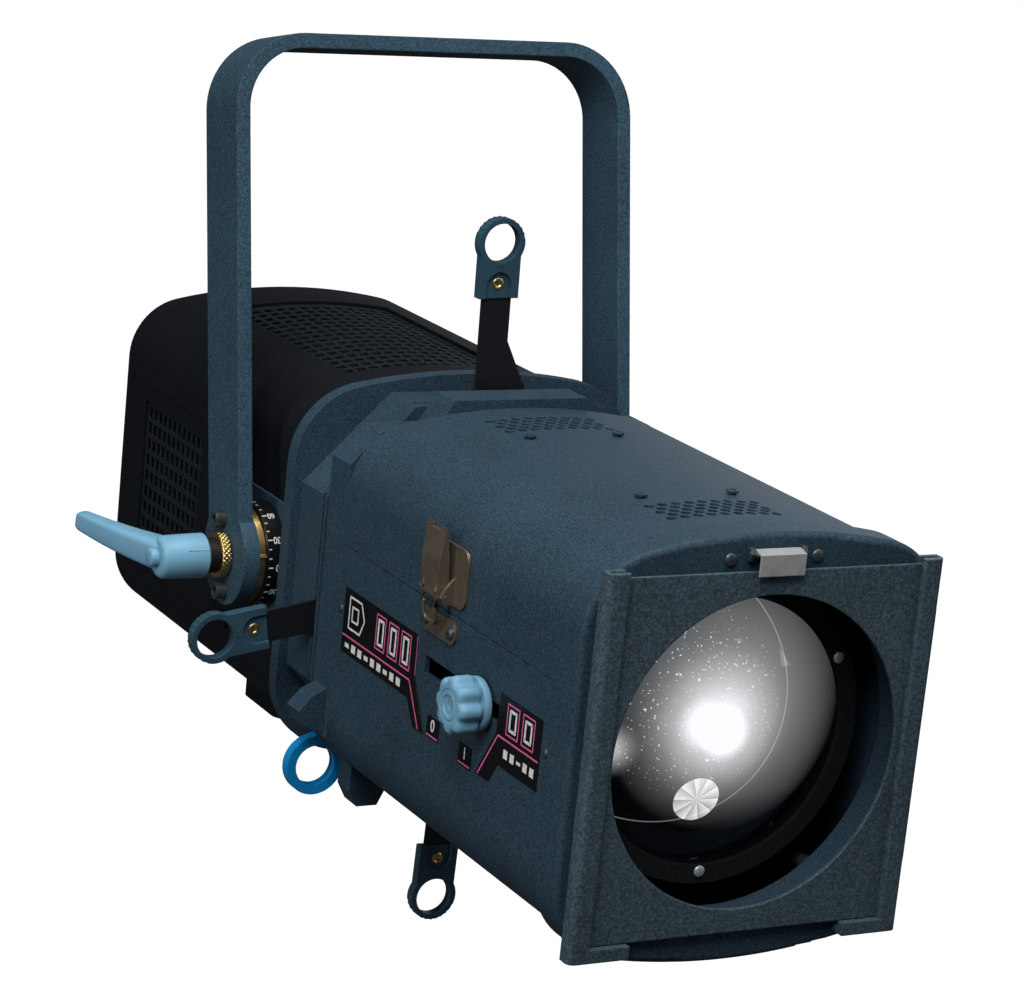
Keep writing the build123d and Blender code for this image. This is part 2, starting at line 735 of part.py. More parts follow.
for name, y, lens_radius, tube_length, knob_side in (
        ("front", front_carriage_y, front_lens_radius, front_tube_length, -1),
        ("rear", rear_carriage_y, rear_lens_radius, rear_tube_length, 1)):
    ring_face, tube_face, stem_face = carriage_faces(y, lens_radius, knob_side)
    tube_front = y + carriage_length / 2 - tube_length
    lens_back = tube_front + 2 + lens_edge
    with BuildPart() as carriage:
        extrude(ring_face, amount=carriage_length)
        extrude(tube_face, amount=tube_length)
        extrude(stem_face, amount=knob_face_x - 4 - (lens_radius + tube_wall - 4))
        with BuildSketch(across(lens_back + lens_seat)):
            Circle(lens_radius + 1)
            Circle(lens_radius - 3, mode=Mode.SUBTRACT)
        extrude(amount=lens_seat)
    write(carriage, f"{name}_lens_carriage")

    sphere = (lens_radius ** 2 + lens_bulge ** 2) / (2 * lens_bulge)
    half_angle = asin(lens_radius / sphere) / 2
    face_y = lens_back - lens_edge - lens_bulge
    with BuildPart() as lens:
        with BuildSketch(Plane.XY):
            with BuildLine():
                Line((0, lens_back), (lens_radius, lens_back))
                Line((lens_radius, lens_back), (lens_radius, lens_back - lens_edge))
                ThreePointArc((lens_radius, lens_back - lens_edge),
                              (sphere * sin(half_angle), face_y + sphere * (1 - cos(half_angle))),
                              (0, face_y))
                Line((0, face_y), (0, lens_back))
            make_face()
        revolve(axis=Axis.Y)
    write(lens, f"{name}_lens")

    with BuildPart() as knob:
        with BuildSketch(Plane(origin=(knob_side * knob_hub_x, y, 0), x_dir=(0, 1, 0),
                               z_dir=(knob_side, 0, 0))):
            Circle(9.0)
        extrude(amount=3.5)
        with BuildSketch(Plane(origin=(knob_side * (knob_hub_x + 3.5), y, 0), x_dir=(0, 1, 0),
                               z_dir=(knob_side, 0, 0))):
            Circle(12.6)
            with PolarLocations(11.4, 8):
                Circle(3.2)
            with PolarLocations(15.2, 8, start_angle=22.5):
                Circle(2.2, mode=Mode.SUBTRACT)
        extrude(amount=knob_face_x - knob_hub_x - 3.5)
        with BuildSketch(Plane(origin=(knob_side * knob_hub_x, y, 0), x_dir=(0, 1, 0),
                               z_dir=(knob_side, 0, 0))):
            Circle(stem_radius + running)
        extrude(amount=knob_face_x - knob_hub_x - 3.6, mode=Mode.SUBTRACT)
    write(knob, f"{name}_focus_knob")

# ================= barrel =================
slot_half = 4.6
slots = {-1: (-278.0, -198.0), 1: (-188.0, -112.0)}
with BuildPart() as barrel_body:
    with BuildSketch(across(barrel_back)):
        add(inset_outline(0))
        add(inset_outline(barrel_wall), mode=Mode.SUBTRACT)
    extrude(amount=barrel_back - bezel_back)
    with BuildSketch(Plane.XY.offset(seam_height)):
        with Locations((0, (barrel_back + bezel_back) / 2)):
            Rectangle(300, barrel_back - bezel_back + 2)
    extrude(amount=120, mode=Mode.SUBTRACT)
    for s, (slot_front, slot_back) in slots.items():
        with BuildSketch(side(s * (body_half_width + 2))):
            with Locations(((slot_front + slot_back) / 2, 0)):
                Rectangle(slot_back - slot_front, 2 * slot_half)
        extrude(amount=-s * 8, mode=Mode.SUBTRACT)
write(barrel_body, "barrel_body")

cover_front = bezel_back + seam_gap
cover_back = barrel_back - seam_gap
vent_fields = ((-312.0, -274.0), (-147.0, -109.0))
cover_screw_places = [(x, y) for y in (-268.0, -154.0) for x in (-26.0, 26.0)]
cover_screw_head = 1.1
with BuildPart() as top_cover:
    with BuildSketch(across(cover_back)):
        add(inset_outline(0))
        add(inset_outline(barrel_wall), mode=Mode.SUBTRACT)
    extrude(amount=cover_back - cover_front)
    with BuildSketch(Plane.XY.offset(seam_height + seam_gap)):
        with Locations((0, (barrel_back + bezel_back) / 2)):
            Rectangle(300, 300)
    extrude(amount=-200, mode=Mode.SUBTRACT)
    with BuildSketch(Plane.XY.offset(body_half_height + 2)):
        for vent_low, vent_high in vent_fields:
            with Locations((0, (vent_low + vent_high) / 2)):
                with GridLocations(7.4, 10.5, 9, 3):
                    RegularPolygon(2.9, 6, rotation=30)
                with GridLocations(7.4, 10.5, 8, 2):
                    RegularPolygon(2.9, 6, rotation=30)
        with Locations(*cover_screw_places):
            Circle(2.0)
    extrude(amount=-12, mode=Mode.SUBTRACT)
write(top_cover, "top_cover")

with BuildPart() as cover_baffles:
    with BuildSketch(Plane.XY.offset(91.5)):
        for y in (-290.0, -130.0):
            with Locations((0, y)):
                Rectangle(84, 56)
        with Locations(*cover_screw_places):
            Circle(2.0, mode=Mode.SUBTRACT)
    extrude(amount=-1)
write(cover_baffles, "cover_baffles")

with BuildPart() as cover_screws:
    with BuildSketch(Plane.XY.offset(body_half_height + 0.2)):
        with Locations(*cover_screw_places):
            Circle(3.2)
    extrude(amount=cover_screw_head)
    with BuildSketch(Plane.XY.offset(body_half_height + 0.2)):
        with Locations(*cover_screw_places):
            Circle(2.0)
    extrude(amount=-14.5)
    with BuildSketch(Plane.XY.offset(90.5)):
        with Locations(*cover_screw_places):
            Circle(3.6)
    extrude(amount=-2)
    with BuildSketch(Plane.XY.offset(body_half_height + 0.2 + cover_screw_head)):
        with Locations(*cover_screw_places):
            Rectangle(4, 0.9)
            Rectangle(0.9, 4)
    extrude(amount=-0.7, mode=Mode.SUBTRACT)
write(cover_screws, "cover_screws")

# hinge of the top cover, on the right side at the seam
hinge_x = body_half_width + 4.2
hinge_z = seam_height
hinge_pin_radius = 1.5
knuckle_radius = 3.2
hinge_places = (-285.0, -140.0)
knuckle = 9.0
with BuildPart() as hinge_lower:
    for y in hinge_places:
        for shift in (-knuckle, knuckle):
            with BuildSketch(across(y + shift + knuckle / 2 - 0.2)):
                with Locations((hinge_x, hinge_z)):
                    Circle(knuckle_radius)
                with Locations(((body_half_width + hinge_x) / 2, hinge_z - 8)):
                    Rectangle(hinge_x - body_half_width, 16)
                with Locations((hinge_x, hinge_z)):
                    Circle(hinge_pin_radius, mode=Mode.SUBTRACT)
            extrude(amount=knuckle - 0.4)
        with BuildSketch(across(y + 1.5 * knuckle - 0.2)):
            with Locations((hinge_x, hinge_z)):
                Circle(hinge_pin_radius)
        extrude(amount=3 * knuckle - 0.4)
write(hinge_lower, "hinge_lower")

with BuildPart() as hinge_upper:
    for y in hinge_places:
        with BuildSketch(across(y + knuckle / 2 - 0.2)):
            with Locations((hinge_x, hinge_z)):
                Circle(knuckle_radius)
            with Locations(((body_half_width + hinge_x) / 2, hinge_z + 8)):
                Rectangle(hinge_x - body_half_width, 16)
            with Locations((hinge_x, hinge_z)):
                Circle(hinge_pin_radius + running, mode=Mode.SUBTRACT)
        extrude(amount=knuckle - 0.4)
write(hinge_upper, "hinge_upper")

with BuildPart() as front_bezel:
    with BuildSketch(across(bezel_back)):
        add(outline(body_half_width + 1.0, body_half_height + 3.5, body_corner + 1))
    extrude(amount=bezel_back - bezel_front)
    fillet(front_bezel.faces().sort_by(Axis.Y)[0].edges(), 3)
    with BuildSketch(across(bezel_back)):
        Circle(86)
    extrude(amount=bezel_back - bezel_front, mode=Mode.SUBTRACT)
write(front_bezel, "front_bezel")

with BuildPart() as lens_rods:
    with BuildSketch(across(barrel_back)):
        with Locations((rod_x, rod_z), (-rod_x, rod_z)):
            Circle(rod_radius)
    extrude(amount=barrel_back - bezel_back)
write(lens_rods, "lens_rods")

# ================= latch of the top cover, left side =================
latch_y = -212.0
latch_pin = (-103.6, 42.0)
plate_x = body_half_width
with BuildPart() as latch_plate:
    with BuildSketch(side(-plate_x)):
        with Locations((latch_y - 4, 53)):
            RectangleRounded(40, 30, 6)
    extrude(amount=-1.5)
    for y in (latch_y - 10.2, latch_y + 12.2):
        with BuildSketch(across(y)):
            Polygon((-plate_x - 1.5, 38.2), (-plate_x - 1.5, 52), (-103.6, 47), (-106.4, 42),
                    (-103.6, 38.2), align=None)
            with Locations(latch_pin):
                Circle(1.2, mode=Mode.SUBTRACT)
        extrude(amount=2)
    with BuildSketch(across(latch_y + 12.4)):
        with Locations(latch_pin):
            Circle(1.2)
    extrude(amount=24.8)
write(latch_plate, "latch_plate")

with BuildPart() as latch_lever:
    with BuildSketch(across(latch_y + 9.6)):
        with Locations(latch_pin):
            Circle(3.0)
        Polygon((-106.4, 41), (-100.8, 43.5), (-101.8, 60), (-103.6, 76), (-105.2, 77), (-107.2, 60),
                align=None)
        with Locations(latch_pin):
            Circle(1.2 + running, mode=Mode.SUBTRACT)
    extrude(amount=19.2)
    with BuildSketch(side(-104)):
        with Locations((latch_y, 77.5)):
            Rectangle(8, 7, mode=Mode.ADD)
    extrude(amount=12, both=True, mode=Mode.SUBTRACT)
write(latch_lever, "latch_lever")

with BuildPart() as latch_keeper:
    with BuildSketch(side(-plate_x)):
        with Locations((latch_y + 1, 24)):
            RectangleRounded(36, 12, 5)
    extrude(amount=-1.5)
    with BuildSketch(side(-plate_x - 1.5)):
        with Locations((latch_y, 27)):
            Rectangle(9, 4)
    extrude(amount=-2.4)
write(latch_keeper, "latch_keeper")

# ================= colour frame, its runners and catch =================
board_back = bezel_front - 3.0
with BuildPart() as colour_frame:
    with BuildSketch(across(board_back)):
        Rectangle(frame_side, frame_side)
        Circle(frame_aperture, mode=Mode.SUBTRACT)
    extrude(amount=frame_thick)
write(colour_frame, "colour_frame")

lip_back = board_back - frame_thick - 0.4
lip_front = lip_back - 3.2
runner_top = 93.0
runner_bottom = -97.0
with BuildPart() as runners:
    for s in (-1, 1):
        with BuildSketch(Plane.XY.offset(runner_bottom)) as channel:
            Polygon((s * runner_lip, bezel_front), (s * runner_outer, bezel_front),
                    (s * runner_outer, lip_front), (s * runner_lip, lip_front),
                    (s * runner_lip, lip_back), (s * (frame_side / 2 + 0.5), lip_back),
                    (s * (frame_side / 2 + 0.5), board_back + 0.4),
                    (s * runner_lip, board_back + 0.4), align=None)
            front_corners = channel.vertices().group_by(Axis.Y)[0].sort_by(Axis.X, reverse=s < 0)
            fillet(front_corners[-1], runner_roll)
            fillet(channel.vertices().group_by(Axis.Y)[0].sort_by(Axis.X, reverse=s < 0)[0], runner_lip_edge)
        extrude(amount=runner_top - runner_bottom)
        with BuildSketch(Plane.XY.offset(runner_bottom)) as foot:
            with Locations((s * (runner_foot + runner_outer) / 2, (bezel_front + lip_front) / 2)):
                Rectangle(runner_outer - runner_foot, bezel_front - lip_front)
            fillet(foot.vertices().group_by(Axis.Y)[0].sort_by(Axis.X, reverse=s < 0)[-1], runner_roll)
        extrude(amount=-runner_bottom - frame_side / 2 - 0.4)
write(runners, "frame_runners")

catch_pin = (-352.4, 98.4)
with BuildPart() as catch_bracket:
    for x in (-15.4, 13.0):
        with BuildSketch(side(x)):
            Polygon((bezel_front, 94.5), (bezel_front, 101), (-353, 101), (-355, 98.4), (-353, 94.5),
                    align=None)
            with Locations(catch_pin):
                Circle(1.0, mode=Mode.SUBTRACT)
        extrude(amount=2.4)
    with BuildSketch(side(-15.6)):
        with Locations(catch_pin):
            Circle(1.0)
    extrude(amount=31.2)
write(catch_bracket, "catch_bracket")

with BuildPart() as catch:
    with BuildSketch(side(-12.4)):
        with Locations(catch_pin):
            Circle(1.9)
        Polygon((-352.4, 99.2), (-352.4, 100.3), (-358.6, 98.9), (-358.6, 88.5), (-357.5, 88.5),
                (-357.5, 97.9), align=None)
        with Locations(catch_pin):
            Circle(1.0 + running, mode=Mode.SUBTRACT)
    extrude(amount=24.8)
write(catch, "frame_catch")

with BuildPart() as casing_screws:
    with BuildSketch(across(bezel_front)):
        with Locations((-24, 95), (24, 95)):
            Circle(3.2)
    extrude(amount=1.6)
    for s in (-1, 1):
        with BuildSketch(side(s * body_half_width)):
            with Locations((-100, -1), (-325.5, -3)):
                Circle(2.3)
        extrude(amount=s * 0.9)
    with BuildSketch(side(-plate_x - 1.5)):
        with Locations((latch_y - 12.5, 24), (latch_y + 14.5, 24)):
            Circle(3.4)
    extrude(amount=-1.8)
write(casing_screws, "casing_screws")

# dark scale panels on the left side of the barrel
panel_thick = 0.5
with BuildPart() as scale_panels:
    with BuildSketch(side(-body_half_width)):
        Polygon((-104.5, 12), (-188, 12), (-189, -9), (-204, -35), (-192, -35), (-183, -22.6),
                (-104.5, -22.6), align=None)
        Polygon((-279, 11.3), (-321, 11.3), (-321, -23.8), (-282, -23.8), (-274.5, -35), (-261, -35),
                (-278, -9), align=None)
        with Locations((-213.5, -29), (-249, -31)):
            Rectangle(13, 11)
    extrude(amount=-panel_thick)
write(scale_panels, "scale_panels")
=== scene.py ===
"""Ellipsoidal spotlight: finishes, small pieces, floor, lights and camera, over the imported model."""
import json
from math import asin, atan2, cos, hypot, pi, radians, sin, sqrt, tan

import bmesh
import bpy
from bpy.props import FloatProperty, FloatVectorProperty, IntProperty, PointerProperty
from mathutils import Matrix, Vector


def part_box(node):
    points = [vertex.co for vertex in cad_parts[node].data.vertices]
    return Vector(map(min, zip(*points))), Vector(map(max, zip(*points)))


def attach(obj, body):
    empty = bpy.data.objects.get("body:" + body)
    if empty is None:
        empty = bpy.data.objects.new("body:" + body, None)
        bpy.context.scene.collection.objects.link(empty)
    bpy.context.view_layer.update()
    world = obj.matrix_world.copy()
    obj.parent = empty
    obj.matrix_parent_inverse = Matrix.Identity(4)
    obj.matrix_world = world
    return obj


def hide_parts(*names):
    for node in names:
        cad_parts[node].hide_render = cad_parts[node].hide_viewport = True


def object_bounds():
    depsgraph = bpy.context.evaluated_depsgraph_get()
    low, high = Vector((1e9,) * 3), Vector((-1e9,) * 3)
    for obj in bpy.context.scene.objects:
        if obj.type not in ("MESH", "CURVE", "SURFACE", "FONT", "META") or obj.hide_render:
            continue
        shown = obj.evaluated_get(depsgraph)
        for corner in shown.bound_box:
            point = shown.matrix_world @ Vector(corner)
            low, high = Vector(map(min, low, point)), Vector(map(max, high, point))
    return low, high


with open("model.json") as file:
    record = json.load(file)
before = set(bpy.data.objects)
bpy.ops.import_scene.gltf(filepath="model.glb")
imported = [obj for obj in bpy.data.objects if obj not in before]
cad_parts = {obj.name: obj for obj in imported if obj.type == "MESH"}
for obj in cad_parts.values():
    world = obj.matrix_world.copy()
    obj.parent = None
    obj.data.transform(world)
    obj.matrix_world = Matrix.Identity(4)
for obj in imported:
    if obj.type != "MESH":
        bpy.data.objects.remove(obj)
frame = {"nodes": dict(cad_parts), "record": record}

bl_info = {
    "name": "Ellipsoidal Spotlight",
    "version": (1, 0, 0),
    "blender": (4, 5, 0),
    "location": "View3D > Sidebar > Spotlight",
    "description": "Finishes and small pieces of a yoke-hung profile spotlight",
    "category": "Object",
}

CAD_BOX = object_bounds()
MM = 0.001
TILT = radians(12.0)
PIVOT = Matrix.Translation((0, 0, -0.2775)) @ Matrix.Scale(MM, 4)      # yoke's own axes, in mm
LAMP = PIVOT @ Matrix.Rotation(TILT, 4, "X")                           # lamp's own axes, in mm


def colour(name, note, value):
    """A colour that the panel shows."""
    return FloatVectorProperty(name=name, description=note, subtype="COLOR", size=3, min=0, max=1, default=value)


def length(name, note, value):
    """A length in metres that the panel shows."""
    return FloatProperty(name=name, description=note, unit="LENGTH", default=value, min=0)


class SpotlightColours(bpy.types.PropertyGroup):
    """Colours of the finishes."""
    body: colour("Body", "Textured paint of the barrel, house and gate", (0.0270, 0.0520, 0.0760))
    # The lamp house colour is the body paint darkened as painted shade, for the house lying in shadow behind the
    # barrel.
    house: colour("Lamp house", "Textured black paint of the lamp house", (0.0050, 0.0062, 0.0092))
    yoke: colour("Yoke", "Textured paint of the yoke", (0.0330, 0.0680, 0.0980))
    frame: colour("Colour frame", "Satin paint of the colour frame and runners", (0.054, 0.086, 0.106))
    lever: colour("Lever", "Moulded plastic of lever and knobs", (0.185, 0.400, 0.560))
    handle: colour("Shutter handles", "Moulded plastic of the finger loops", (0.030, 0.075, 0.105))
    iris: colour("Iris handle", "Bright moulded plastic of the iris handle", (0.005, 0.300, 0.720))
    accent: colour("Accent", "Printed lines on the side panels", (0.80, 0.14, 0.36))
    print: colour("Printing", "Printed marks and dial numbers", (0.86, 0.86, 0.84))
    brass: colour("Brass", "Turned brass", (0.80, 0.56, 0.22))
    floor: colour("Floor", "Studio floor", (0.90, 0.90, 0.90))


class SpotlightSizes(bpy.types.PropertyGroup):
    """Sizes of the small pieces."""
    edge: length("Edge radius", "Softening of painted edges", 0.0007)
    grain: length("Paint grain", "Size of the paint's texture", 0.0011)
    lobes: IntProperty(name="Knob lobes", description="Lobes round a focus knob", default=8, min=3)
    knurls: IntProperty(name="Knurls", description="Ridges round the clamping nut", default=30, min=8)
    facets: IntProperty(name="Facets", description="Facets round the reflector", default=24, min=6)
    rings: IntProperty(name="Facet rings", description="Rings of facets along the reflector", default=9, min=3)


# ---------------------------------------------------------------- shader maths
class Wire:
    """A socket of a material's node tree that takes part in Python expressions."""

    def __init__(self, tree, socket):
        self.tree, self.socket = tree, socket

    def maths(self, operation, *values):
        return node(self.tree, "ShaderNodeMath", {"operation": operation}, dict(enumerate(values)))

    def __add__(self, other): return self.maths("ADD", self, other)
    def __radd__(self, other): return self.maths("ADD", other, self)
    def __sub__(self, other): return self.maths("SUBTRACT", self, other)
    def __rsub__(self, other): return self.maths("SUBTRACT", other, self)
    def __mul__(self, other): return self.maths("MULTIPLY", self, other)
    def __rmul__(self, other): return self.maths("MULTIPLY", other, self)
    def __truediv__(self, other): return self.maths("DIVIDE", self, other)
    def __pow__(self, other): return self.maths("POWER", self, other)
    def __gt__(self, other): return self.maths("GREATER_THAN", self, other)
    def __lt__(self, other): return self.maths("LESS_THAN", self, other)

    def clamp(self):
        return node(self.tree, "ShaderNodeClamp", {}, {0: self})

    def band(self, low, high):
        """0 below low, 1 above high, straight between."""
        return node(self.tree, "ShaderNodeMapRange", {}, {0: self, 1: low, 2: high})


def node(tree, kind, settings, inputs, output=0):
    """Adds one node: its settings first, then the values or links of its sockets."""
    made = tree.nodes.new(kind)
    for name, value in settings.items():
        if name == "stops":
            for place, shade in value:
                stop = made.color_ramp.elements.new(place)
                stop.color = shade
            made.color_ramp.elements.remove(made.color_ramp.elements[0])
            made.color_ramp.elements.remove(made.color_ramp.elements[-1])
        else:
            setattr(made, name, value)
    for name, value in inputs.items():
        socket = made.inputs[name]
        if isinstance(value, Wire):
            tree.links.new(value.socket, socket)
        elif isinstance(value, (tuple, list, Vector)) and socket.type == "RGBA" and len(value) == 3:
            socket.default_value = (*value, 1.0)
        else:
            socket.default_value = value
    return Wire(tree, made.outputs[output]) if len(made.outputs) else None


def blend(tree, factor, first, second, how="MIX"):
    """Mixes two colours."""
    return node(tree, "ShaderNodeMix", {"data_type": "RGBA", "blend_type": how}, {0: factor, 6: first, 7: second}, 2)


def shade(value, factor):
    """A colour made darker or lighter."""
    return tuple(min(1.0, c * factor) for c in value)


def new_material(name):
    """An empty material and its tree, with the object's own coordinates."""
    packed = bpy.data.materials.get(name)
    if packed:
        packed.name = f"packed_{name}"
    material = bpy.data.materials.new(name)
    material.use_nodes = True
    tree = material.node_tree
    tree.nodes.clear()
    place = node(tree, "ShaderNodeTexCoord", {}, {}, 3)
    return material, tree, place


def surface(tree, **inputs):
    """Ends a tree in one Principled shader."""
    named = {name.replace("_", " "): value for name, value in inputs.items()}
    shader = node(tree, "ShaderNodeBsdfPrincipled", {}, named)
    node(tree, "ShaderNodeOutputMaterial", {}, {0: shader})


def noise(tree, place, scale, detail=3.0, rough=0.5):
    return node(tree, "ShaderNodeTexNoise", {}, {"Vector": place, "Scale": scale, "Detail": detail, "Roughness": rough})


def edge_mask(tree, radius):
    """1 on sharp edges, 0 on flats: the finishes lighten edges there, partly as a painted highlight."""
    rounded = node(tree, "ShaderNodeBevel", {"samples": 4}, {"Radius": radius})
    true_normal = node(tree, "ShaderNodeNewGeometry", {}, {}, 1)
    flat = node(tree, "ShaderNodeVectorMath", {"operation": "DOT_PRODUCT"}, {0: rounded, 1: true_normal}, 1)
    return ((1.0 - flat) * 6.0).clamp(), rounded


def paint(name, tone, rough=0.42, grain=0.0011, relief=0.35, wear_and_highlight=0.5, edge=0.0007):
    """Fine textured paint: speckle, faint blotches, edges lightened by scuffing and a painted highlight."""
    material, tree, place = new_material(name)
    edge_wear_and_highlight, rounded = edge_mask(tree, edge)
    speck = noise(tree, place, 1.0 / grain, 3.0, 0.75)
    blotch = noise(tree, place, 14.0, 4.0, 0.6)
    scuff = noise(tree, place, 160.0, 5.0, 0.7)
    mottled = blend(tree, blotch.band(0.3, 0.75), shade(tone, 0.82), shade(tone, 1.18))
    darkened = blend(tree, (1.0 - speck.band(0.34, 0.50)) * 0.8, mottled, shade(tone, 0.42))
    flecked = blend(tree, speck.band(0.50, 0.66) * 0.8, darkened, shade(tone, 1.75))
    # Lighter edges, broken up by the scuff noise: partly scuffed paint, partly a painted highlight.
    rubbed_and_highlit = blend(tree, (edge_wear_and_highlight * scuff.band(0.42, 0.62)) * wear_and_highlight, flecked, shade(tone, 3.2))
    bump = node(tree, "ShaderNodeBump", {}, {"Strength": relief, "Distance": 0.0003, "Height": speck, "Normal": rounded})
    surface(tree, Base_Color=rubbed_and_highlit, Roughness=blotch * 0.12 + (rough + 0.06) + speck * 0.06, Normal=bump,
            Specular_IOR_Level=0.14)
    return material


def plastic(name, tone, rough=0.38, gloss=0.0):
    """Moulded plastic with a faint grain, soft edges and a painted highlight along the edges."""
    material, tree, place = new_material(name)
    edge_wear_and_highlight, rounded = edge_mask(tree, 0.0006)
    fine = noise(tree, place, 900.0, 2.0)
    cloud = noise(tree, place, 35.0, 3.0)
    toned = blend(tree, cloud.band(0.35, 0.7), shade(tone, 0.88), shade(tone, 1.1))
    # Edges painted lighter all round: a painted highlight.
    edge_highlit = blend(tree, edge_wear_and_highlight * 0.35, toned, shade(tone, 1.8))
    bump = node(tree, "ShaderNodeBump", {}, {"Strength": 0.15, "Distance": 0.0002, "Height": fine, "Normal": rounded})
    surface(tree, Base_Color=edge_highlit, Roughness=cloud * 0.1 + (rough - 0.05), Normal=bump, Coat_Roughness=0.2,
            Coat_Weight=gloss, Specular_IOR_Level=0.25)
    return material


def metal(name, tone, rough=0.3, grain=500.0, stretch=(1, 1, 1), metallic=1.0, dull=0.5):
    """Turned, brushed or plated metal with darker stains and a painted highlight along the edges."""
    material, tree, place = new_material(name)
    edge_wear_and_highlight, rounded = edge_mask(tree, 0.0005)
    along = node(tree, "ShaderNodeMapping", {}, {"Vector": place, "Scale": stretch})
    lines = noise(tree, along, grain, 4.0, 0.7)
    stain = noise(tree, place, 90.0, 5.0, 0.65)
    toned = blend(tree, stain.band(0.45, 0.75) * dull, tone, shade(tone, 0.45))
    # Edges painted lighter: a painted highlight along every edge.
    bright = blend(tree, edge_wear_and_highlight * 0.4, toned, shade(tone, 1.5))
    bump = node(tree, "ShaderNodeBump", {}, {"Strength": 0.2, "Distance": 0.0002, "Height": lines, "Normal": rounded})
    surface(tree, Base_Color=bright, Roughness=stain * 0.18 + lines * 0.12 + (rough - 0.12), Metallic=metallic,
            Normal=bump)
    return material


def flat_print(name, tone):
    """Screen-printed ink, a little uneven."""
    material, tree, place = new_material(name)
    patch = noise(tree, place, 700.0, 3.0)
    inked = blend(tree, patch.band(0.35, 0.6), shade(tone, 0.78), tone)
    surface(tree, Base_Color=inked, Roughness=patch * 0.1 + 0.4)
    return material


def clear_glass(name, tone, clear=0.55):
    """Clean dark-looking glass that lets part of what is behind it show."""
    material, tree, place = new_material(name)
    smear = noise(tree, place, 40.0, 3.0)
    surface(tree, Base_Color=blend(tree, smear, shade(tone, 0.8), tone), Roughness=smear * 0.04 + 0.02,
            Alpha=smear * 0.06 + (1.0 - clear))
    return material


def glowing_lens(name, tone):
    """The front lens as a painted glow: emission on the lens stands in for light from inside, with a hot middle, a wide
    haze, glowing dust specks, and a ghost ring and the reflector's facets as painted reflections.
    """
    material, tree, place = new_material(name)
    up = tuple(LAMP.to_3x3() @ Vector((0, 0, 1000.0)))
    inward = tuple(LAMP.to_3x3() @ Vector((0, 1000.0, 0)))
    seat = node(tree, "ShaderNodeVectorMath", {"operation": "SUBTRACT"}, {0: place, 1: tuple(LENS_MIDDLE)})
    across = node(tree, "ShaderNodeSeparateXYZ", {}, {0: seat})
    height = node(tree, "ShaderNodeVectorMath", {"operation": "DOT_PRODUCT"}, {0: seat, 1: up}, 1)
    depth = node(tree, "ShaderNodeVectorMath", {"operation": "DOT_PRODUCT"}, {0: seat, 1: inward}, 1)
    front = depth < 0.0175

    def reach(x, z):
        """Distance in metres from a point of the lens, given in mm right and up of its middle."""
        u, v = across - x / 1000, height - z / 1000
        return (u * u + v * v) ** 0.5, u, v

    def spot(x, z, radius, power):
        return (1.0 - reach(x, z)[0] / (radius / 1000)).clamp() ** power

    cloud = noise(tree, place, 60.0, 4.0, 0.65)
    haze = spot(0.0, 20.0, 68.0, 0.9) * 0.36
    core = spot(-12.0, 9.0, 46.0, 2.2) * (0.85 + cloud * 0.5)
    hot = spot(-8.0, 5.0, 15.0, 1.3) * 1.1
    second = spot(-20.0, 10.0, 14.0, 1.2) * 0.6
    flare = spot(-63.0, -4.0, 16.0, 1.6) * 0.7
    # Dust specks painted as glowing points: painted light on the lens.
    specks = (noise(tree, place, 780.0, 1.0) > 0.70) * spot(-26.0, 22.0, 50.0, 0.5) * 0.75
    # Ghost ring: a painted reflection.
    ghost_reach = reach(-38.0, 24.0)[0]
    ghost = (1.0 - ((ghost_reach - 0.0655) ** 2.0) ** 0.5 / 0.0005).clamp() * 0.22
    # Rosette of the reflector's facets: a painted reflection.
    rose_reach, rose_u, rose_v = reach(-17.0, -29.0)
    turn = node(tree, "ShaderNodeMath", {"operation": "ARCTAN2"}, {0: rose_v, 1: rose_u}) * (10.0 / (2 * pi))
    facet = node(tree, "ShaderNodeMath", {"operation": "FRACT"}, {0: turn + 20.0})
    rose = (rose_reach < 0.0115) * (0.35 + facet * 0.5) * (0.55 + cloud * 0.7)
    fade = (height + 0.058).band(0.0, 0.030)
    # All of it is painted glow, given to the lens as emission.
    glow = ((haze + core + hot + second + flare) * fade + specks + ghost + rose).clamp() * front
    lit = blend(tree, glow, (0.0, 0.0, 0.0), tone)
    surface(tree, Base_Color=(0.010, 0.011, 0.014), Roughness=0.03, Alpha=(0.15 + front * 0.5 + glow).clamp(),
            Emission_Color=lit, Emission_Strength=1.0)
    return material


def bright_emitter(name, tone, strength):
    material, tree, place = new_material(name)
    wave = noise(tree, place, 600.0, 2.0)
    hot = blend(tree, wave, shade(tone, 0.9), tone)
    surface(tree, Base_Color=hot, Roughness=0.5, Emission_Color=hot, Emission_Strength=strength)
    return material


# ---------------------------------------------------------------- mesh helpers
def settle(name, form, place, body, material, replaces=(), soft=None, sharp=38.0):
    """Turns a bmesh in mm into a piece that rides on a body."""
    bmesh.ops.remove_doubles(form, verts=form.verts, dist=1e-4)
    if soft:
        corners = [e for e in form.edges if len(e.link_faces) == 2 and e.calc_face_angle(0.0) > radians(30)]
        bmesh.ops.bevel(form, geom=corners, offset=soft, segments=2, profile=0.5, affect="EDGES", clamp_overlap=True)
    bmesh.ops.recalc_face_normals(form, faces=form.faces)
    form.transform(place)
    mesh = bpy.data.meshes.new(name)
    form.to_mesh(mesh)
    form.free()
    for face in mesh.polygons:
        face.use_smooth = True
    mesh.set_sharp_from_angle(angle=radians(sharp))
    piece = bpy.data.objects.new(name, mesh)
    bpy.context.scene.collection.objects.link(piece)
    piece.data.materials.append(bpy.data.materials[material])
    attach(piece, body)
    if replaces:
        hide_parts(*replaces)
    return piece


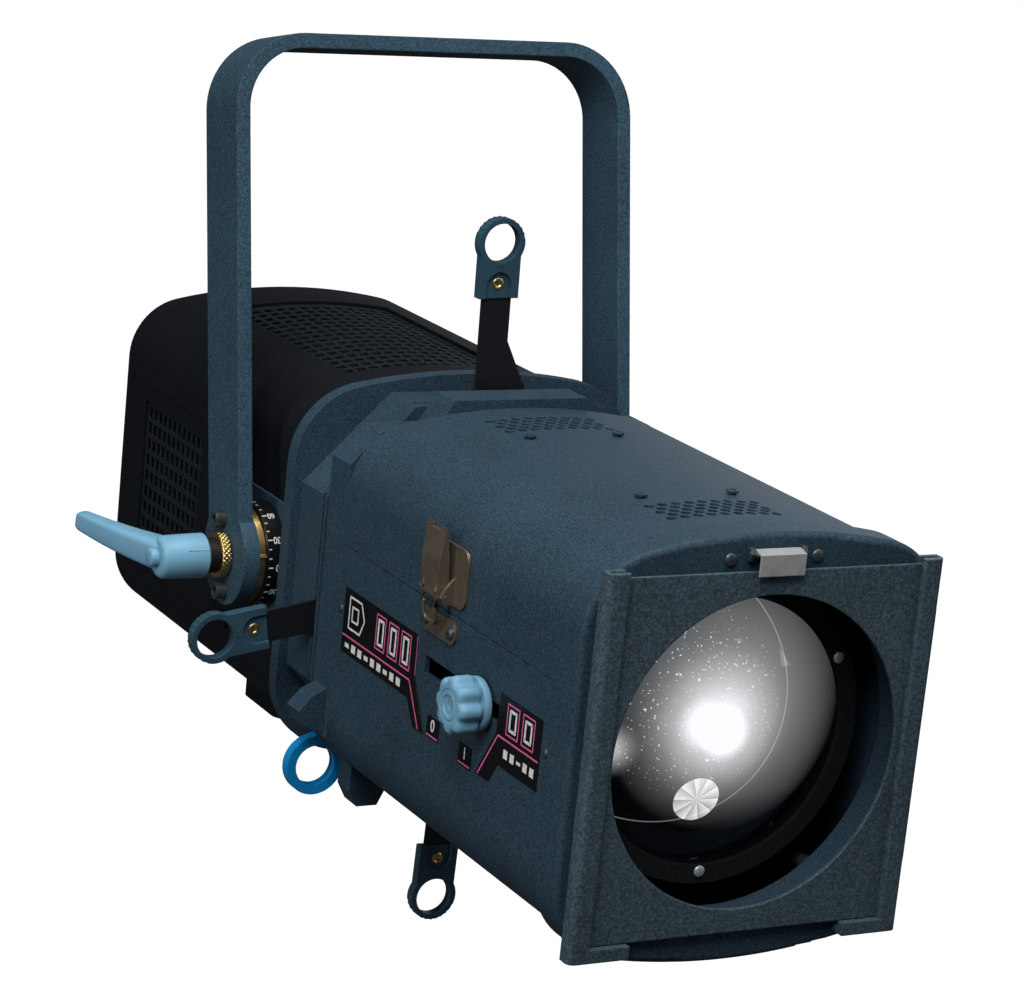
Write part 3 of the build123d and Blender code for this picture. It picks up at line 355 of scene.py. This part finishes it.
def lathe(form, profile, place=Matrix.Identity(4), steps=48, radius_at=None):
    """Revolves (radius, along) points about the place's Z; radius_at may alter a radius by angle and station."""
    rings = []
    for r, h in profile:
        ring = []
        for k in range(steps):
            a = 2 * pi * k / steps
            rr = radius_at(r, h, a) if radius_at else r
            ring.append(form.verts.new(place @ Vector((rr * cos(a), rr * sin(a), h))))
        rings.append(ring)
    for low, high in zip(rings, rings[1:]):
        for k in range(steps):
            form.faces.new((low[k], low[(k + 1) % steps], high[(k + 1) % steps], high[k]))
    for ring, flip in ((rings[0], True), (rings[-1], False)):
        form.faces.new(ring[::-1] if flip else ring)
    return rings


def slab(form, outline, low, high, place=Matrix.Identity(4)):
    """Closed plate from an outline in the place's XY, between two heights."""
    bottom = [form.verts.new(place @ Vector((x, y, low))) for x, y in outline]
    top = [form.verts.new(place @ Vector((x, y, high))) for x, y in outline]
    n = len(outline)
    for k in range(n):
        form.faces.new((bottom[k], bottom[(k + 1) % n], top[(k + 1) % n], top[k]))
    form.faces.new(bottom[::-1])
    form.faces.new(top)


def sweep(form, stations):
    """Skins closed rings of points, one after another, and caps both ends."""
    rings = [[form.verts.new(p) for p in ring] for ring in stations]
    n = len(rings[0])
    for low, high in zip(rings, rings[1:]):
        for k in range(n):
            form.faces.new((low[k], low[(k + 1) % n], high[(k + 1) % n], high[k]))
    form.faces.new(rings[0][::-1])
    form.faces.new(rings[-1])


def tube(form, points, radius, steps=8):
    """Round wire along points."""
    stations = []
    for k, point in enumerate(points):
        ahead = points[min(k + 1, len(points) - 1)] - points[max(k - 1, 0)]
        turn = ahead.to_track_quat("Z", "Y").to_matrix()
        stations.append([point + turn @ Vector((radius * cos(2 * pi * j / steps), radius * sin(2 * pi * j / steps), 0))
                         for j in range(steps)])
    sweep(form, stations)


def facing(origin, normal, right):
    """Matrix whose Z is a normal and whose X is as near as can be to right."""
    z = Vector(normal).normalized()
    x = (Vector(right) - z * z.dot(Vector(right))).normalized()
    y = z.cross(x)
    m = Matrix((x, y, z)).transposed().to_4x4()
    m.translation = Vector(origin)
    return m


def cross_screw(form, place, head=3.2, rise=1.3):
    """Pan-head screw with a cross recess, head upwards along the place's Z."""
    lathe(form, [(head, -0.4), (head, rise * 0.35), (head * 0.86, rise * 0.75), (head * 0.62, rise)], place, 28)
    arm, wide, deep = head * 0.6, head * 0.16, rise + 0.02
    for turn in (0, pi / 2):
        m = place @ Matrix.Rotation(turn + 0.35, 4, "Z")
        slab(form, [(-arm, -wide), (arm, -wide), (arm, wide), (-arm, wide)], deep - 0.03, deep, m)


def glyph(text, size):
    """Triangles of a plain numeral as a mesh lying in XY, centred."""
    curve = bpy.data.curves.new("numeral", "FONT")
    curve.body, curve.size, curve.align_x, curve.align_y = text, size, "CENTER", "CENTER"
    curve.extrude = 0.05
    curve.offset = size * 0.012
    carrier = bpy.data.objects.new("numeral", curve)
    bpy.context.scene.collection.objects.link(carrier)
    bpy.context.view_layer.update()
    form = bmesh.new()
    mesh = bpy.data.meshes.new_from_object(carrier)
    form.from_mesh(mesh)
    bpy.data.objects.remove(carrier)
    bpy.data.meshes.remove(mesh)
    bpy.data.curves.remove(curve)
    return form


def join(target, source):
    """Adds one bmesh to another."""
    mesh = bpy.data.meshes.new("part")
    source.to_mesh(mesh)
    source.free()
    target.from_mesh(mesh)
    bpy.data.meshes.remove(mesh)


LENS_MIDDLE = LAMP @ Vector((0, -338.0, 0))


# ---------------------------------------------------------------- operators
class SPOTLIGHT_OT_finishes(bpy.types.Operator):
    """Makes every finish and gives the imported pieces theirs"""
    bl_idname = "spotlight.finishes"
    bl_label = "Finishes"

    def execute(self, context):
        c, s = context.scene.spotlight_colours, context.scene.spotlight_sizes
        paint("dark_paint", tuple(c.body), grain=s.grain, edge=s.edge)
        paint("yoke_paint", tuple(c.yoke), rough=0.40, grain=s.grain, edge=0.0012)
        # House paint: the body paint made near black as painted shade.
        paint("house_paint", tuple(c.house), rough=0.44, grain=s.grain, edge=s.edge, wear_and_highlight=0.3)
        paint("grille_black", (0.010, 0.014, 0.018), rough=0.5, relief=0.15, wear_and_highlight=0.2)
        paint("frame_grey", tuple(c.frame), rough=0.36, grain=0.0016, relief=0.2, wear_and_highlight=0.6, edge=0.0009)
        paint("carriage_black", (0.012, 0.013, 0.015), rough=0.45, relief=0.2, wear_and_highlight=0.3)
        plastic("lever_plastic", tuple(c.lever))
        plastic("handle_plastic", tuple(c.handle), rough=0.34)
        plastic("iris_blue", tuple(c.iris), rough=0.28, gloss=0.3)
        plastic("black_rubber", (0.010, 0.010, 0.012), rough=0.55)
        plastic("scale_black", (0.0035, 0.0035, 0.0042), rough=0.42)
        plastic("ceramic_white", (0.72, 0.70, 0.64), rough=0.55)
        metal("blade_steel", (0.030, 0.033, 0.038), rough=0.34, stretch=(1, 1, 0.08), metallic=0.7)
        metal("brass", tuple(c.brass), rough=0.26, grain=900)
        metal("bronze", (0.210, 0.170, 0.125), rough=0.28, grain=400, metallic=0.6, dull=0.6)
        metal("dark_steel", (0.10, 0.115, 0.125), rough=0.32, metallic=0.7)
        metal("bright_steel", (0.66, 0.67, 0.68), rough=0.30, stretch=(1, 0.1, 1), metallic=0.55)
        metal("mirror_coat", (0.86, 0.87, 0.90), rough=0.14, dull=0.15)
        clear_glass("lens_glass", (0.03, 0.034, 0.04))
        clear_glass("bulb_glass", (0.30, 0.30, 0.30), clear=0.7)
        glowing_lens("lit_lens", (0.96, 0.98, 1.0))
        flat_print("white_print", tuple(c.print))
        flat_print("accent_print", tuple(c.accent))
        bright_emitter("hot_filament", (1.0, 0.93, 0.80), 12.0)
        slots = {part["node"]: part["material_slot"] for part in frame["record"]["subparts"]}
        # The house shell, rear cap and terminal box take the darkened house paint, a painted shade.
        slots.update(house_shell="house_paint", rear_cap="house_paint", terminal_box="house_paint",
                     front_lens="lit_lens", cover_screws="dark_paint", casing_screws="dark_paint")
        for name, piece in frame["nodes"].items():
            piece.data.materials.clear()
            piece.data.materials.append(bpy.data.materials[slots[name]])
        return {"FINISHED"}


class SPOTLIGHT_OT_clamping_lever(bpy.types.Operator):
    """Makes the knurled nut and the clamping lever with its button"""
    bl_idname = "spotlight.clamping_lever"
    bl_label = "Clamping Lever"

    def execute(self, context):
        knurls = context.scene.spotlight_sizes.knurls
        low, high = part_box("knurled_nut")
        start, stop = -high.x / MM, -low.x / MM
        out = facing((0, 0, 0), (-1, 0, 0), (0, -1, 0))

        def knurl(r, h, a):
            if r < 12:
                return r
            lean = (h - start) * 0.16
            wave = abs(((a * knurls / (2 * pi) + lean * 2.2) % 1.0) - 0.5) * 2
            cross = abs(((a * knurls / (2 * pi) - lean * 2.2) % 1.0) - 0.5) * 2
            return r - 0.9 * max(wave, cross) ** 1.5

        nut = bmesh.new()
        grip = [(12.9, start + 0.5 + (stop - start - 1.0) * k / 8) for k in range(9)]
        lathe(nut, [(6.1, start), (11.6, start), (11.9, start + 0.4)] + grip + [(11.9, stop - 0.3), (11.2, stop), (6.1, stop)],
              out, knurls * 8, knurl)
        settle("knurled_nut_turned", nut, PIVOT, "clamp_lever", "brass", ["knurled_nut"], sharp=50)

        low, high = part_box("clamp_lever")
        hub_in, hub_out = -high.x / MM, 160.9
        hub = bmesh.new()
        lathe(hub, [(6.1, hub_in), (11.4, hub_in), (12.3, hub_in + 0.9), (12.2, hub_in + 7), (11.7, hub_out - 3.0),
                    (10.9, hub_out - 1.2), (9.6, hub_out - 0.2), (8.4, hub_out), (5.3, hub_out), (5.2, hub_out - 1.2),
                    (0.01, hub_out - 1.2)], out, 64)
        for turn in (radians(18), radians(198)):
            seam = out @ Matrix.Rotation(turn, 4, "Z")
            slab(hub, [(11.2, -0.25), (12.35, -0.25), (12.35, 0.25), (11.2, 0.25)], hub_in + 1.0, hub_in + 13.0, seam)
        root, tip = Vector((-(hub_out - 9.5), 0, 0)), Vector((-(hub_out + 22.0), 50.0, 17.0))
        line = tip - root
        across = line.normalized().cross(Vector((1, 0, 0))).normalized()
        deep = across.cross(line.normalized()).normalized()
        stations = []
        for t, grow in ((0.02, 1), (0.12, 1), (0.25, 1), (0.4, 1), (0.55, 1), (0.7, 1), (0.82, 1), (0.92, 1.0),
                        (0.985, 1.0), (1.03, 0.94), (1.055, 0.80), (1.065, 0.60)):
            wide = (8.8 - 3.3 * t) * grow
            thick = (8.3 - 4.1 * t) * grow
            middle = root.lerp(tip, t) - deep * (2.6 * sin(pi * min(1.0, t)))
            ring = []
            for j in range(32):
                a = 2 * pi * j / 32
                u, v = cos(a), sin(a)
                ring.append(middle + across * wide * abs(u) ** 0.42 * (1 if u >= 0 else -1)
                            + deep * thick * abs(v) ** 0.42 * (1 if v >= 0 else -1))
            stations.append(ring)
        arm = bmesh.new()
        sweep(arm, stations)
        join(hub, arm)
        settle("clamp_lever_moulded", hub, PIVOT, "clamp_lever", "lever_plastic", ["clamp_lever"], sharp=42)

        button = bmesh.new()
        lathe(button, [(0.01, hub_out - 1.0), (5.0, hub_out - 1.0), (5.0, hub_out + 3.6), (4.7, hub_out + 4.3),
                       (4.0, hub_out + 4.7), (0.01, hub_out + 4.8)], out, 40)
        settle("clamp_lever_button", button, PIVOT, "clamp_lever", "lever_plastic", sharp=50)
        return {"FINISHED"}


class SPOTLIGHT_OT_focus_knobs(bpy.types.Operator):
    """Makes the two lobed focus knobs"""
    bl_idname = "spotlight.focus_knobs"
    bl_label = "Focus Knobs"

    def execute(self, context):
        lobes = context.scene.spotlight_sizes.lobes
        for name, sign, station in (("front", -1, -261.0), ("rear", 1, -148.0)):
            out = facing((0, station, 0), (sign, 0, 0), (0, 1, 0))

            def lobed(r, h, a):
                if r < 10.0 or h < 104.0:
                    return r
                return r - 2.2 * (0.5 - 0.5 * cos(lobes * a)) ** 1.4 * min(1.0, (r - 10.0) / 3.0)

            grip = bmesh.new()
            lathe(grip, [(4.2, 98.8), (12.2, 98.8), (13.2, 99.2), (13.6, 100.0), (13.6, 102.2), (13.2, 103.0),
                         (11.6, 103.3), (11.6, 104.2), (13.6, 104.5), (14.5, 105.2), (14.8, 106.4), (14.8, 112.6),
                         (14.5, 114.4), (13.7, 115.7), (12.4, 116.4), (9.8, 116.5), (8.3, 116.5), (8.0, 116.0), (7.6, 116.0),
                         (7.3, 116.5), (5.5, 116.5), (5.1, 115.7), (3.6, 115.4), (2.2, 115.4), (1.9, 115.0), (0.01, 115.0)],
                  out, lobes * 16, lobed)
            settle(f"{name}_focus_knob_moulded", grip, LAMP, f"{name}_focus_knob", "lever_plastic",
                   [f"{name}_focus_knob"], sharp=50)
        return {"FINISHED"}


class SPOTLIGHT_OT_tilt_scale(bpy.types.Operator):
    """Makes the ticks and numerals round the tilt drum"""
    bl_idname = "spotlight.tilt_scale"
    bl_label = "Tilt Scale"

    def execute(self, context):
        low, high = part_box("tilt_drums")
        outer, radius = low.x / MM, (high.y - low.y) / 2 / MM
        marks = bmesh.new()
        for degrees in range(-90, 91, 10):
            a = radians(degrees)
            reach, half = (2.5, 0.34) if degrees % 30 == 0 else (1.6, 0.26)
            seat = facing((0, -radius * cos(a), radius * sin(a)), (0, -cos(a), sin(a)), (1, 0, 0))
            slab(marks, [(outer + 0.5, -half), (outer + 0.5 + reach, -half), (outer + 0.5 + reach, half), (outer + 0.5, half)],
                 -0.02, 0.08, seat)
        for value in (-60, -30, 0, 30, 60):
            form = glyph(str(abs(value)), 5.4)
            bmesh.ops.triangulate(form, faces=form.faces)
            bmesh.ops.subdivide_edges(form, edges=[e for e in form.edges if e.calc_length() > 1.2], cuts=1)
            for v in form.verts:
                a = radians(value) - v.co.y / radius
                r = radius + 0.03 + v.co.z
                v.co = Vector((outer + 5.7 - v.co.x * 0.80, -r * cos(a), r * sin(a)))
            join(marks, form)
        settle("tilt_scale_marks", marks, LAMP, "lamp", "white_print", sharp=60)
        return {"FINISHED"}


class SPOTLIGHT_OT_side_print(bpy.types.Operator):
    """Makes the plain printed marks on the side panels"""
    bl_idname = "spotlight.side_print"
    bl_label = "Side Print"

    def execute(self, context):
        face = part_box("scale_panels")[0].x / MM
        out = facing((face, 0, 0), (-1, 0, 0), (0, -1, 0))

        def bar(form, y0, z0, y1, z1, wide):
            """A strip from one point to another."""
            run = Vector((y1 - y0, z1 - z0))
            n = Vector((-run.y, run.x)).normalized() * wide / 2
            corners = [(y0 + n.x, z0 + n.y), (y1 + n.x, z1 + n.y), (y1 - n.x, z1 - n.y), (y0 - n.x, z0 - n.y)]
            slab(form, [(-y, z) for y, z in corners], 0.0, 0.07, out)

        def outlined(form, points, wide):
            """A closed line of strips with filled corners."""
            for k, (y, z) in enumerate(points):
                bar(form, y, z, *points[(k + 1) % len(points)], wide)
                slab(form, [(-y + wide / 2 * cos(a), z + wide / 2 * sin(a)) for a in [pi * j / 4 for j in range(8)]],
                     0.0, 0.068, out)

        lines, whites = bmesh.new(), bmesh.new()
        bar(lines, -105.2, -13.2, -184.0, -13.2, 0.9)
        bar(lines, -184.0, -13.2, -197.8, -34.6, 0.9)
        bar(lines, -189.3, 11.4, -189.6, -9.2, 0.5)
        bar(lines, -280.2, -9.6, -263.5, -34.6, 0.9)
        bar(lines, -280.2, -9.6, -320.4, -9.6, 0.9)
        for y in (-143.0, -157.5, -172.0):
            outlined(lines, [(y, 9.0), (y - 10.5, 9.0), (y - 10.5, -9.0), (y, -9.0)], 0.8)
            outlined(whites, [(y - 2.6, 6.4), (y - 7.9, 6.4), (y - 7.9, -6.4), (y - 2.6, -6.4)], 1.5)
        for y in (-287.5, -303.0):
            outlined(lines, [(y, 8.6), (y - 11.5, 8.6), (y - 11.5, -6.6), (y, -6.6)], 0.8)
            outlined(whites, [(y - 2.8, 5.8), (y - 8.7, 5.8), (y - 8.7, -3.8), (y - 2.8, -3.8)], 1.5)
        outlined(whites, [(-111.0, 8.4), (-124.5, 8.4), (-129.0, 0), (-124.5, -8.4), (-111.0, -8.4)], 1.1)
        outlined(whites, [(-114.5, 3.8), (-121.5, 3.8), (-121.5, -3.8), (-114.5, -3.8)], 1.1)
        for k in range(9):
            bar(whites, -109.0 - k * 7.6, -18.0, -113.6 - k * 7.6, -18.0, 4.2 if k % 3 else 2.4)
        for k in range(5):
            bar(whites, -287.0 - k * 6.6, -16.5, -291.0 - k * 6.6, -16.5, 4.4 if k != 2 else 1.6)
        for value, y, z in (("0", -213.5, -28.0), ("1", -249.0, -30.0)):
            form = glyph(value, 8.6)
            form.transform(out @ Matrix.Translation((-y, z, 0.05)))
            join(whites, form)
            bar(lines, y + 6.2, z - 5.3, y - 6.2, z - 5.3, 0.8)
        settle("panel_lines", lines, LAMP, "lamp", "accent_print", sharp=60)
        settle("panel_marks", whites, LAMP, "lamp", "white_print", sharp=60)
        return {"FINISHED"}


class SPOTLIGHT_OT_rivets(bpy.types.Operator):
    """Makes the brass eyelets and moulded squares of the shutter handles"""
    bl_idname = "spotlight.rivets"
    bl_label = "Handle Rivets"

    def execute(self, context):
        shutters = {"top": (-62.9, 91.5, 0, -1), "bottom": (-58.4, -91.5, 0, -1),
                    "left": (-67.4, 189.0, 30, -1), "right": (-53.9, -9.0, 30, -1)}
        for name, (y, degrees, pushed, facing_way) in shutters.items():
            a = radians(degrees)
            outward = Vector((cos(a), 0, sin(a)))
            seat = facing(Vector((0, y, 0)) + outward * (163.75 - pushed), (0, facing_way, 0), outward)
            eyelet = bmesh.new()
            lathe(eyelet, [(1.2, -1.4), (3.3, -1.4), (3.3, -0.9), (1.95, -0.8), (1.95, 0.9), (3.5, 1.0), (3.5, 1.5),
                           (3.1, 1.9), (2.2, 2.0), (1.5, 1.6), (1.2, 1.2)], seat, 32)
            settle(f"shutter_rivet_{name}", eyelet, LAMP, f"shutter_{name}", "brass", sharp=50)
            square = bmesh.new()
            edge = facing(Vector((0, y, 0)) + outward * (172.4 - pushed), (0, facing_way, 0), outward)
            for side in range(4):
                m = edge @ Matrix.Rotation(side * pi / 2, 4, "Z")
                slab(square, [(-1.7, 1.3), (1.7, 1.3), (1.7, 1.7), (-1.7, 1.7)], 2.9, 3.2, m)
            settle(f"shutter_emblem_{name}", square, LAMP, f"shutter_{name}", "handle_plastic")
        return {"FINISHED"}


class SPOTLIGHT_OT_casing_screws(bpy.types.Operator):
    """Makes the cross-head screws of the casing"""
    bl_idname = "spotlight.casing_screws"
    bl_label = "Casing Screws"

    def execute(self, context):
        heads = bmesh.new()
        for x in (-24.0, 24.0):
            cross_screw(heads, facing((x, -350.0, 95.0), (0, -1, 0), (1, 0, 0)), 3.3, 1.5)
        for s in (-1, 1):
            for y, z in ((-100.0, -1.0), (-325.5, -3.0)):
                cross_screw(heads, facing((s * 97.5, y, z), (s, 0, 0), (0, 1, 0)), 2.4, 0.9)
        for y in (-224.5, -197.5):
            cross_screw(heads, facing((-99.0, y, 24.0), (-1, 0, 0), (0, 1, 0)), 3.4, 1.7)
        settle("casing_screw_heads", heads, LAMP, "lamp", "dark_steel", ["casing_screws"], sharp=30)
        return {"FINISHED"}


class SPOTLIGHT_OT_optics(bpy.types.Operator):
    """Makes the faceted reflector and the lamp's filament"""
    bl_idname = "spotlight.optics"
    bl_label = "Reflector and Filament"

    def execute(self, context):
        s = context.scene.spotlight_sizes
        form = bmesh.new()
        mouth, deep, neck, front = 82.0, 142.0, 20.0, -30.0
        last = sqrt(1 - (neck / mouth) ** 2)
        inner, outer = [], []
        for k in range(s.rings + 1):
            t = last * sin(pi / 2 * k / s.rings)
            r = mouth * sqrt(max(0.0, 1 - t * t))
            inner.append((r - 1.5, front + 1.5 + t * (deep - 2.5)))
            outer.append((r, front + 1.5 + t * (deep - 1.5)))
        back = facing((0, 0, 0), (0, 1, 0), (1, 0, 0))
        rings = []
        for r, y in inner + outer[::-1]:
            rings.append([form.verts.new(back @ Vector((r * cos(2 * pi * j / s.facets), r * sin(2 * pi * j / s.facets), y)))
                          for j in range(s.facets)])
        n = s.facets
        for k in range(len(rings)):
            low, high = rings[k], rings[(k + 1) % len(rings)]
            for j in range(n):
                form.faces.new((low[j], low[(j + 1) % n], high[(j + 1) % n], high[j]))
        settle("reflector_faceted", form, LAMP, "lamp", "mirror_coat", ["reflector"], sharp=3)

        clips = bmesh.new()
        for degrees in (-92.0, 28.0, 148.0):
            a = radians(degrees)
            seat = facing((71.6 * cos(a), -322.0, 71.6 * sin(a)), (0, -1, 0), (1, 0, 0))
            cross_screw(clips, seat, 3.0, 1.3)
        settle("lens_ring_screws", clips, LAMP, "front_carriage", "bright_steel", sharp=30)

        wire = bmesh.new()
        for x in (-4.5, -1.5, 1.5, 4.5):
            coil = [Vector((x + 1.1 * cos(2 * pi * j / 8), 56.0 + j * 0.28, 1.1 * sin(2 * pi * j / 8))) for j in range(64)]
            tube(wire, coil, 0.22, 6)
        for x in (-4.5, 4.5):
            tube(wire, [Vector((x, 74.0, 0)), Vector((x, 82.0, 0)), Vector((x * 0.9, 89.0, 0))], 0.45)
        settle("lamp_filament", wire, LAMP, "lamp_carrier", "hot_filament", sharp=60)
        return {"FINISHED"}


class SPOTLIGHT_OT_latch_hook(bpy.types.Operator):
    """Makes the latch's wire hook"""
    bl_idname = "spotlight.latch_hook"
    bl_label = "Latch Hook"

    def execute(self, context):
        hook = bmesh.new()
        x, y = -105.6, -212.0
        points = [Vector(p) for p in ((x, y - 6.5, 48), (x - 0.4, y - 6.6, 44), (x - 0.4, y - 6.6, 36), (x + 0.6, y - 6.2, 30),
                                      (x + 1.4, y - 4.8, 27.4), (x + 1.4, y, 27.2), (x + 1.4, y + 4.8, 27.4),
                                      (x + 0.6, y + 6.2, 30), (x - 0.4, y + 6.6, 36), (x - 0.4, y + 6.6, 44), (x, y + 6.5, 48))]
        tube(hook, points, 1.15, 10)
        settle("latch_hook", hook, LAMP, "top_cover", "bronze", sharp=60)
        return {"FINISHED"}


class SPOTLIGHT_OT_studio(bpy.types.Operator):
    """Makes the floor, the lights and the camera"""
    bl_idname = "spotlight.studio"
    bl_label = "Studio"

    def execute(self, context):
        scene = context.scene
        tone = tuple(scene.spotlight_colours.floor)
        material, tree, place = new_material("studio_floor")
        wash = noise(tree, place, 3.0, 3.0)
        pale = blend(tree, wash, shade(tone, 0.98), tone)
        surface(tree, Base_Color=pale, Roughness=0.9, Emission_Color=pale, Emission_Strength=0.98)
        ground = CAD_BOX[0][2] - 0.55
        form = bmesh.new()
        profile = [(-3.2, ground), (2.2, ground)]
        profile += [(2.2 + 1.6 * sin(a), ground + 1.6 * (1 - cos(a))) for a in [pi / 2 * k / 16 for k in range(1, 17)]]
        profile += [(3.8, ground + 4.5)]
        lines = [[form.verts.new((x, y, z)) for x in (-4.5, 5.5)] for y, z in profile]
        for low, high in zip(lines, lines[1:]):
            form.faces.new((low[0], low[1], high[1], high[0]))
        form.transform(Matrix.Rotation(radians(-28.3), 4, "Z"))
        mesh = bpy.data.meshes.new("studio_floor")
        form.to_mesh(mesh)
        form.free()
        for face in mesh.polygons:
            face.use_smooth = True
        floor = bpy.data.objects.new("studio_floor", mesh)
        scene.collection.objects.link(floor)
        floor.data.materials.append(material)
        floor.visible_diffuse = floor.visible_glossy = False

        world = bpy.data.worlds.new("studio_air")
        scene.world = world
        world.use_nodes = True
        air = world.node_tree
        air.nodes.clear()
        seen = node(air, "ShaderNodeLightPath", {}, {})
        fill = node(air, "ShaderNodeBackground", {}, {0: (0.93, 0.97, 1.0), 1: 0.05})
        white = node(air, "ShaderNodeBackground", {}, {0: (1.0, 1.0, 1.0), 1: 0.98})
        node(air, "ShaderNodeOutputWorld", {}, {0: node(air, "ShaderNodeMixShader", {}, {0: seen, 1: fill, 2: white})})

        middle = Vector((0, -0.20, -0.28))
        for name, place, wide, tall, power in (
                ("key_softbox", (-0.95, -1.45, 0.85), 0.8, 0.8, 20.0),
                ("top_softbox", (0.05, -0.75, 1.25), 1.1, 1.1, 22.0),
                ("side_strip", (-1.9, -0.35, 0.1), 0.35, 1.4, 11.0),
                ("right_strip", (1.5, -1.2, 0.3), 0.4, 1.4, 4.0),
                ("back_softbox", (1.5, 1.1, 0.5), 0.9, 0.9, 4.0)):
            data = bpy.data.lights.new(name, "AREA")
            data.shape, data.size, data.size_y, data.energy = "RECTANGLE", wide, tall, power
            lamp = bpy.data.objects.new(name, data)
            scene.collection.objects.link(lamp)
            lamp.location = place
            lamp.rotation_euler = (middle - Vector(place)).to_track_quat("-Z", "Y").to_euler()

        eye = bpy.data.cameras.new("camera")
        eye.lens, eye.sensor_width, eye.clip_start, eye.clip_end = 119.74, 36.0, 0.05, 60.0
        camera = bpy.data.objects.new("camera", eye)
        scene.collection.objects.link(camera)
        camera.location = (-0.8593, -1.6975, -0.1238)
        ahead = Vector((0.47366, 0.87814, -0.06715))
        camera.rotation_euler = ahead.to_track_quat("-Z", "Y").to_euler()
        scene.camera = camera
        scene.view_settings.view_transform = "Standard"
        return {"FINISHED"}


PIECES = (SPOTLIGHT_OT_finishes, SPOTLIGHT_OT_clamping_lever, SPOTLIGHT_OT_focus_knobs, SPOTLIGHT_OT_tilt_scale,
          SPOTLIGHT_OT_side_print, SPOTLIGHT_OT_rivets, SPOTLIGHT_OT_casing_screws, SPOTLIGHT_OT_optics,
          SPOTLIGHT_OT_latch_hook, SPOTLIGHT_OT_studio)


class SPOTLIGHT_PT_panel(bpy.types.Panel):
    """Lists the spotlight's sizes, colours and pieces"""
    bl_idname = "SPOTLIGHT_PT_panel"
    bl_label = "Ellipsoidal Spotlight"
    bl_space_type = "VIEW_3D"
    bl_region_type = "UI"
    bl_category = "Spotlight"

    def draw(self, context):
        for group in (context.scene.spotlight_sizes, context.scene.spotlight_colours):
            box = self.layout.box()
            for name in group.__annotations__:
                box.prop(group, name)
        for piece in PIECES:
            self.layout.operator(piece.bl_idname)


CLASSES = (SpotlightColours, SpotlightSizes, *PIECES, SPOTLIGHT_PT_panel)


def register():
    for cls in CLASSES:
        bpy.utils.register_class(cls)
    bpy.types.Scene.spotlight_colours = PointerProperty(type=SpotlightColours)
    bpy.types.Scene.spotlight_sizes = PointerProperty(type=SpotlightSizes)


def unregister():
    del bpy.types.Scene.spotlight_colours
    del bpy.types.Scene.spotlight_sizes
    for cls in reversed(CLASSES):
        bpy.utils.unregister_class(cls)


def main():
    """Builds every piece in order."""
    register()
    for piece in PIECES:
        group, name = piece.bl_idname.split(".")
        getattr(getattr(bpy.ops, group), name)()


if __name__ == "__main__":
    main()
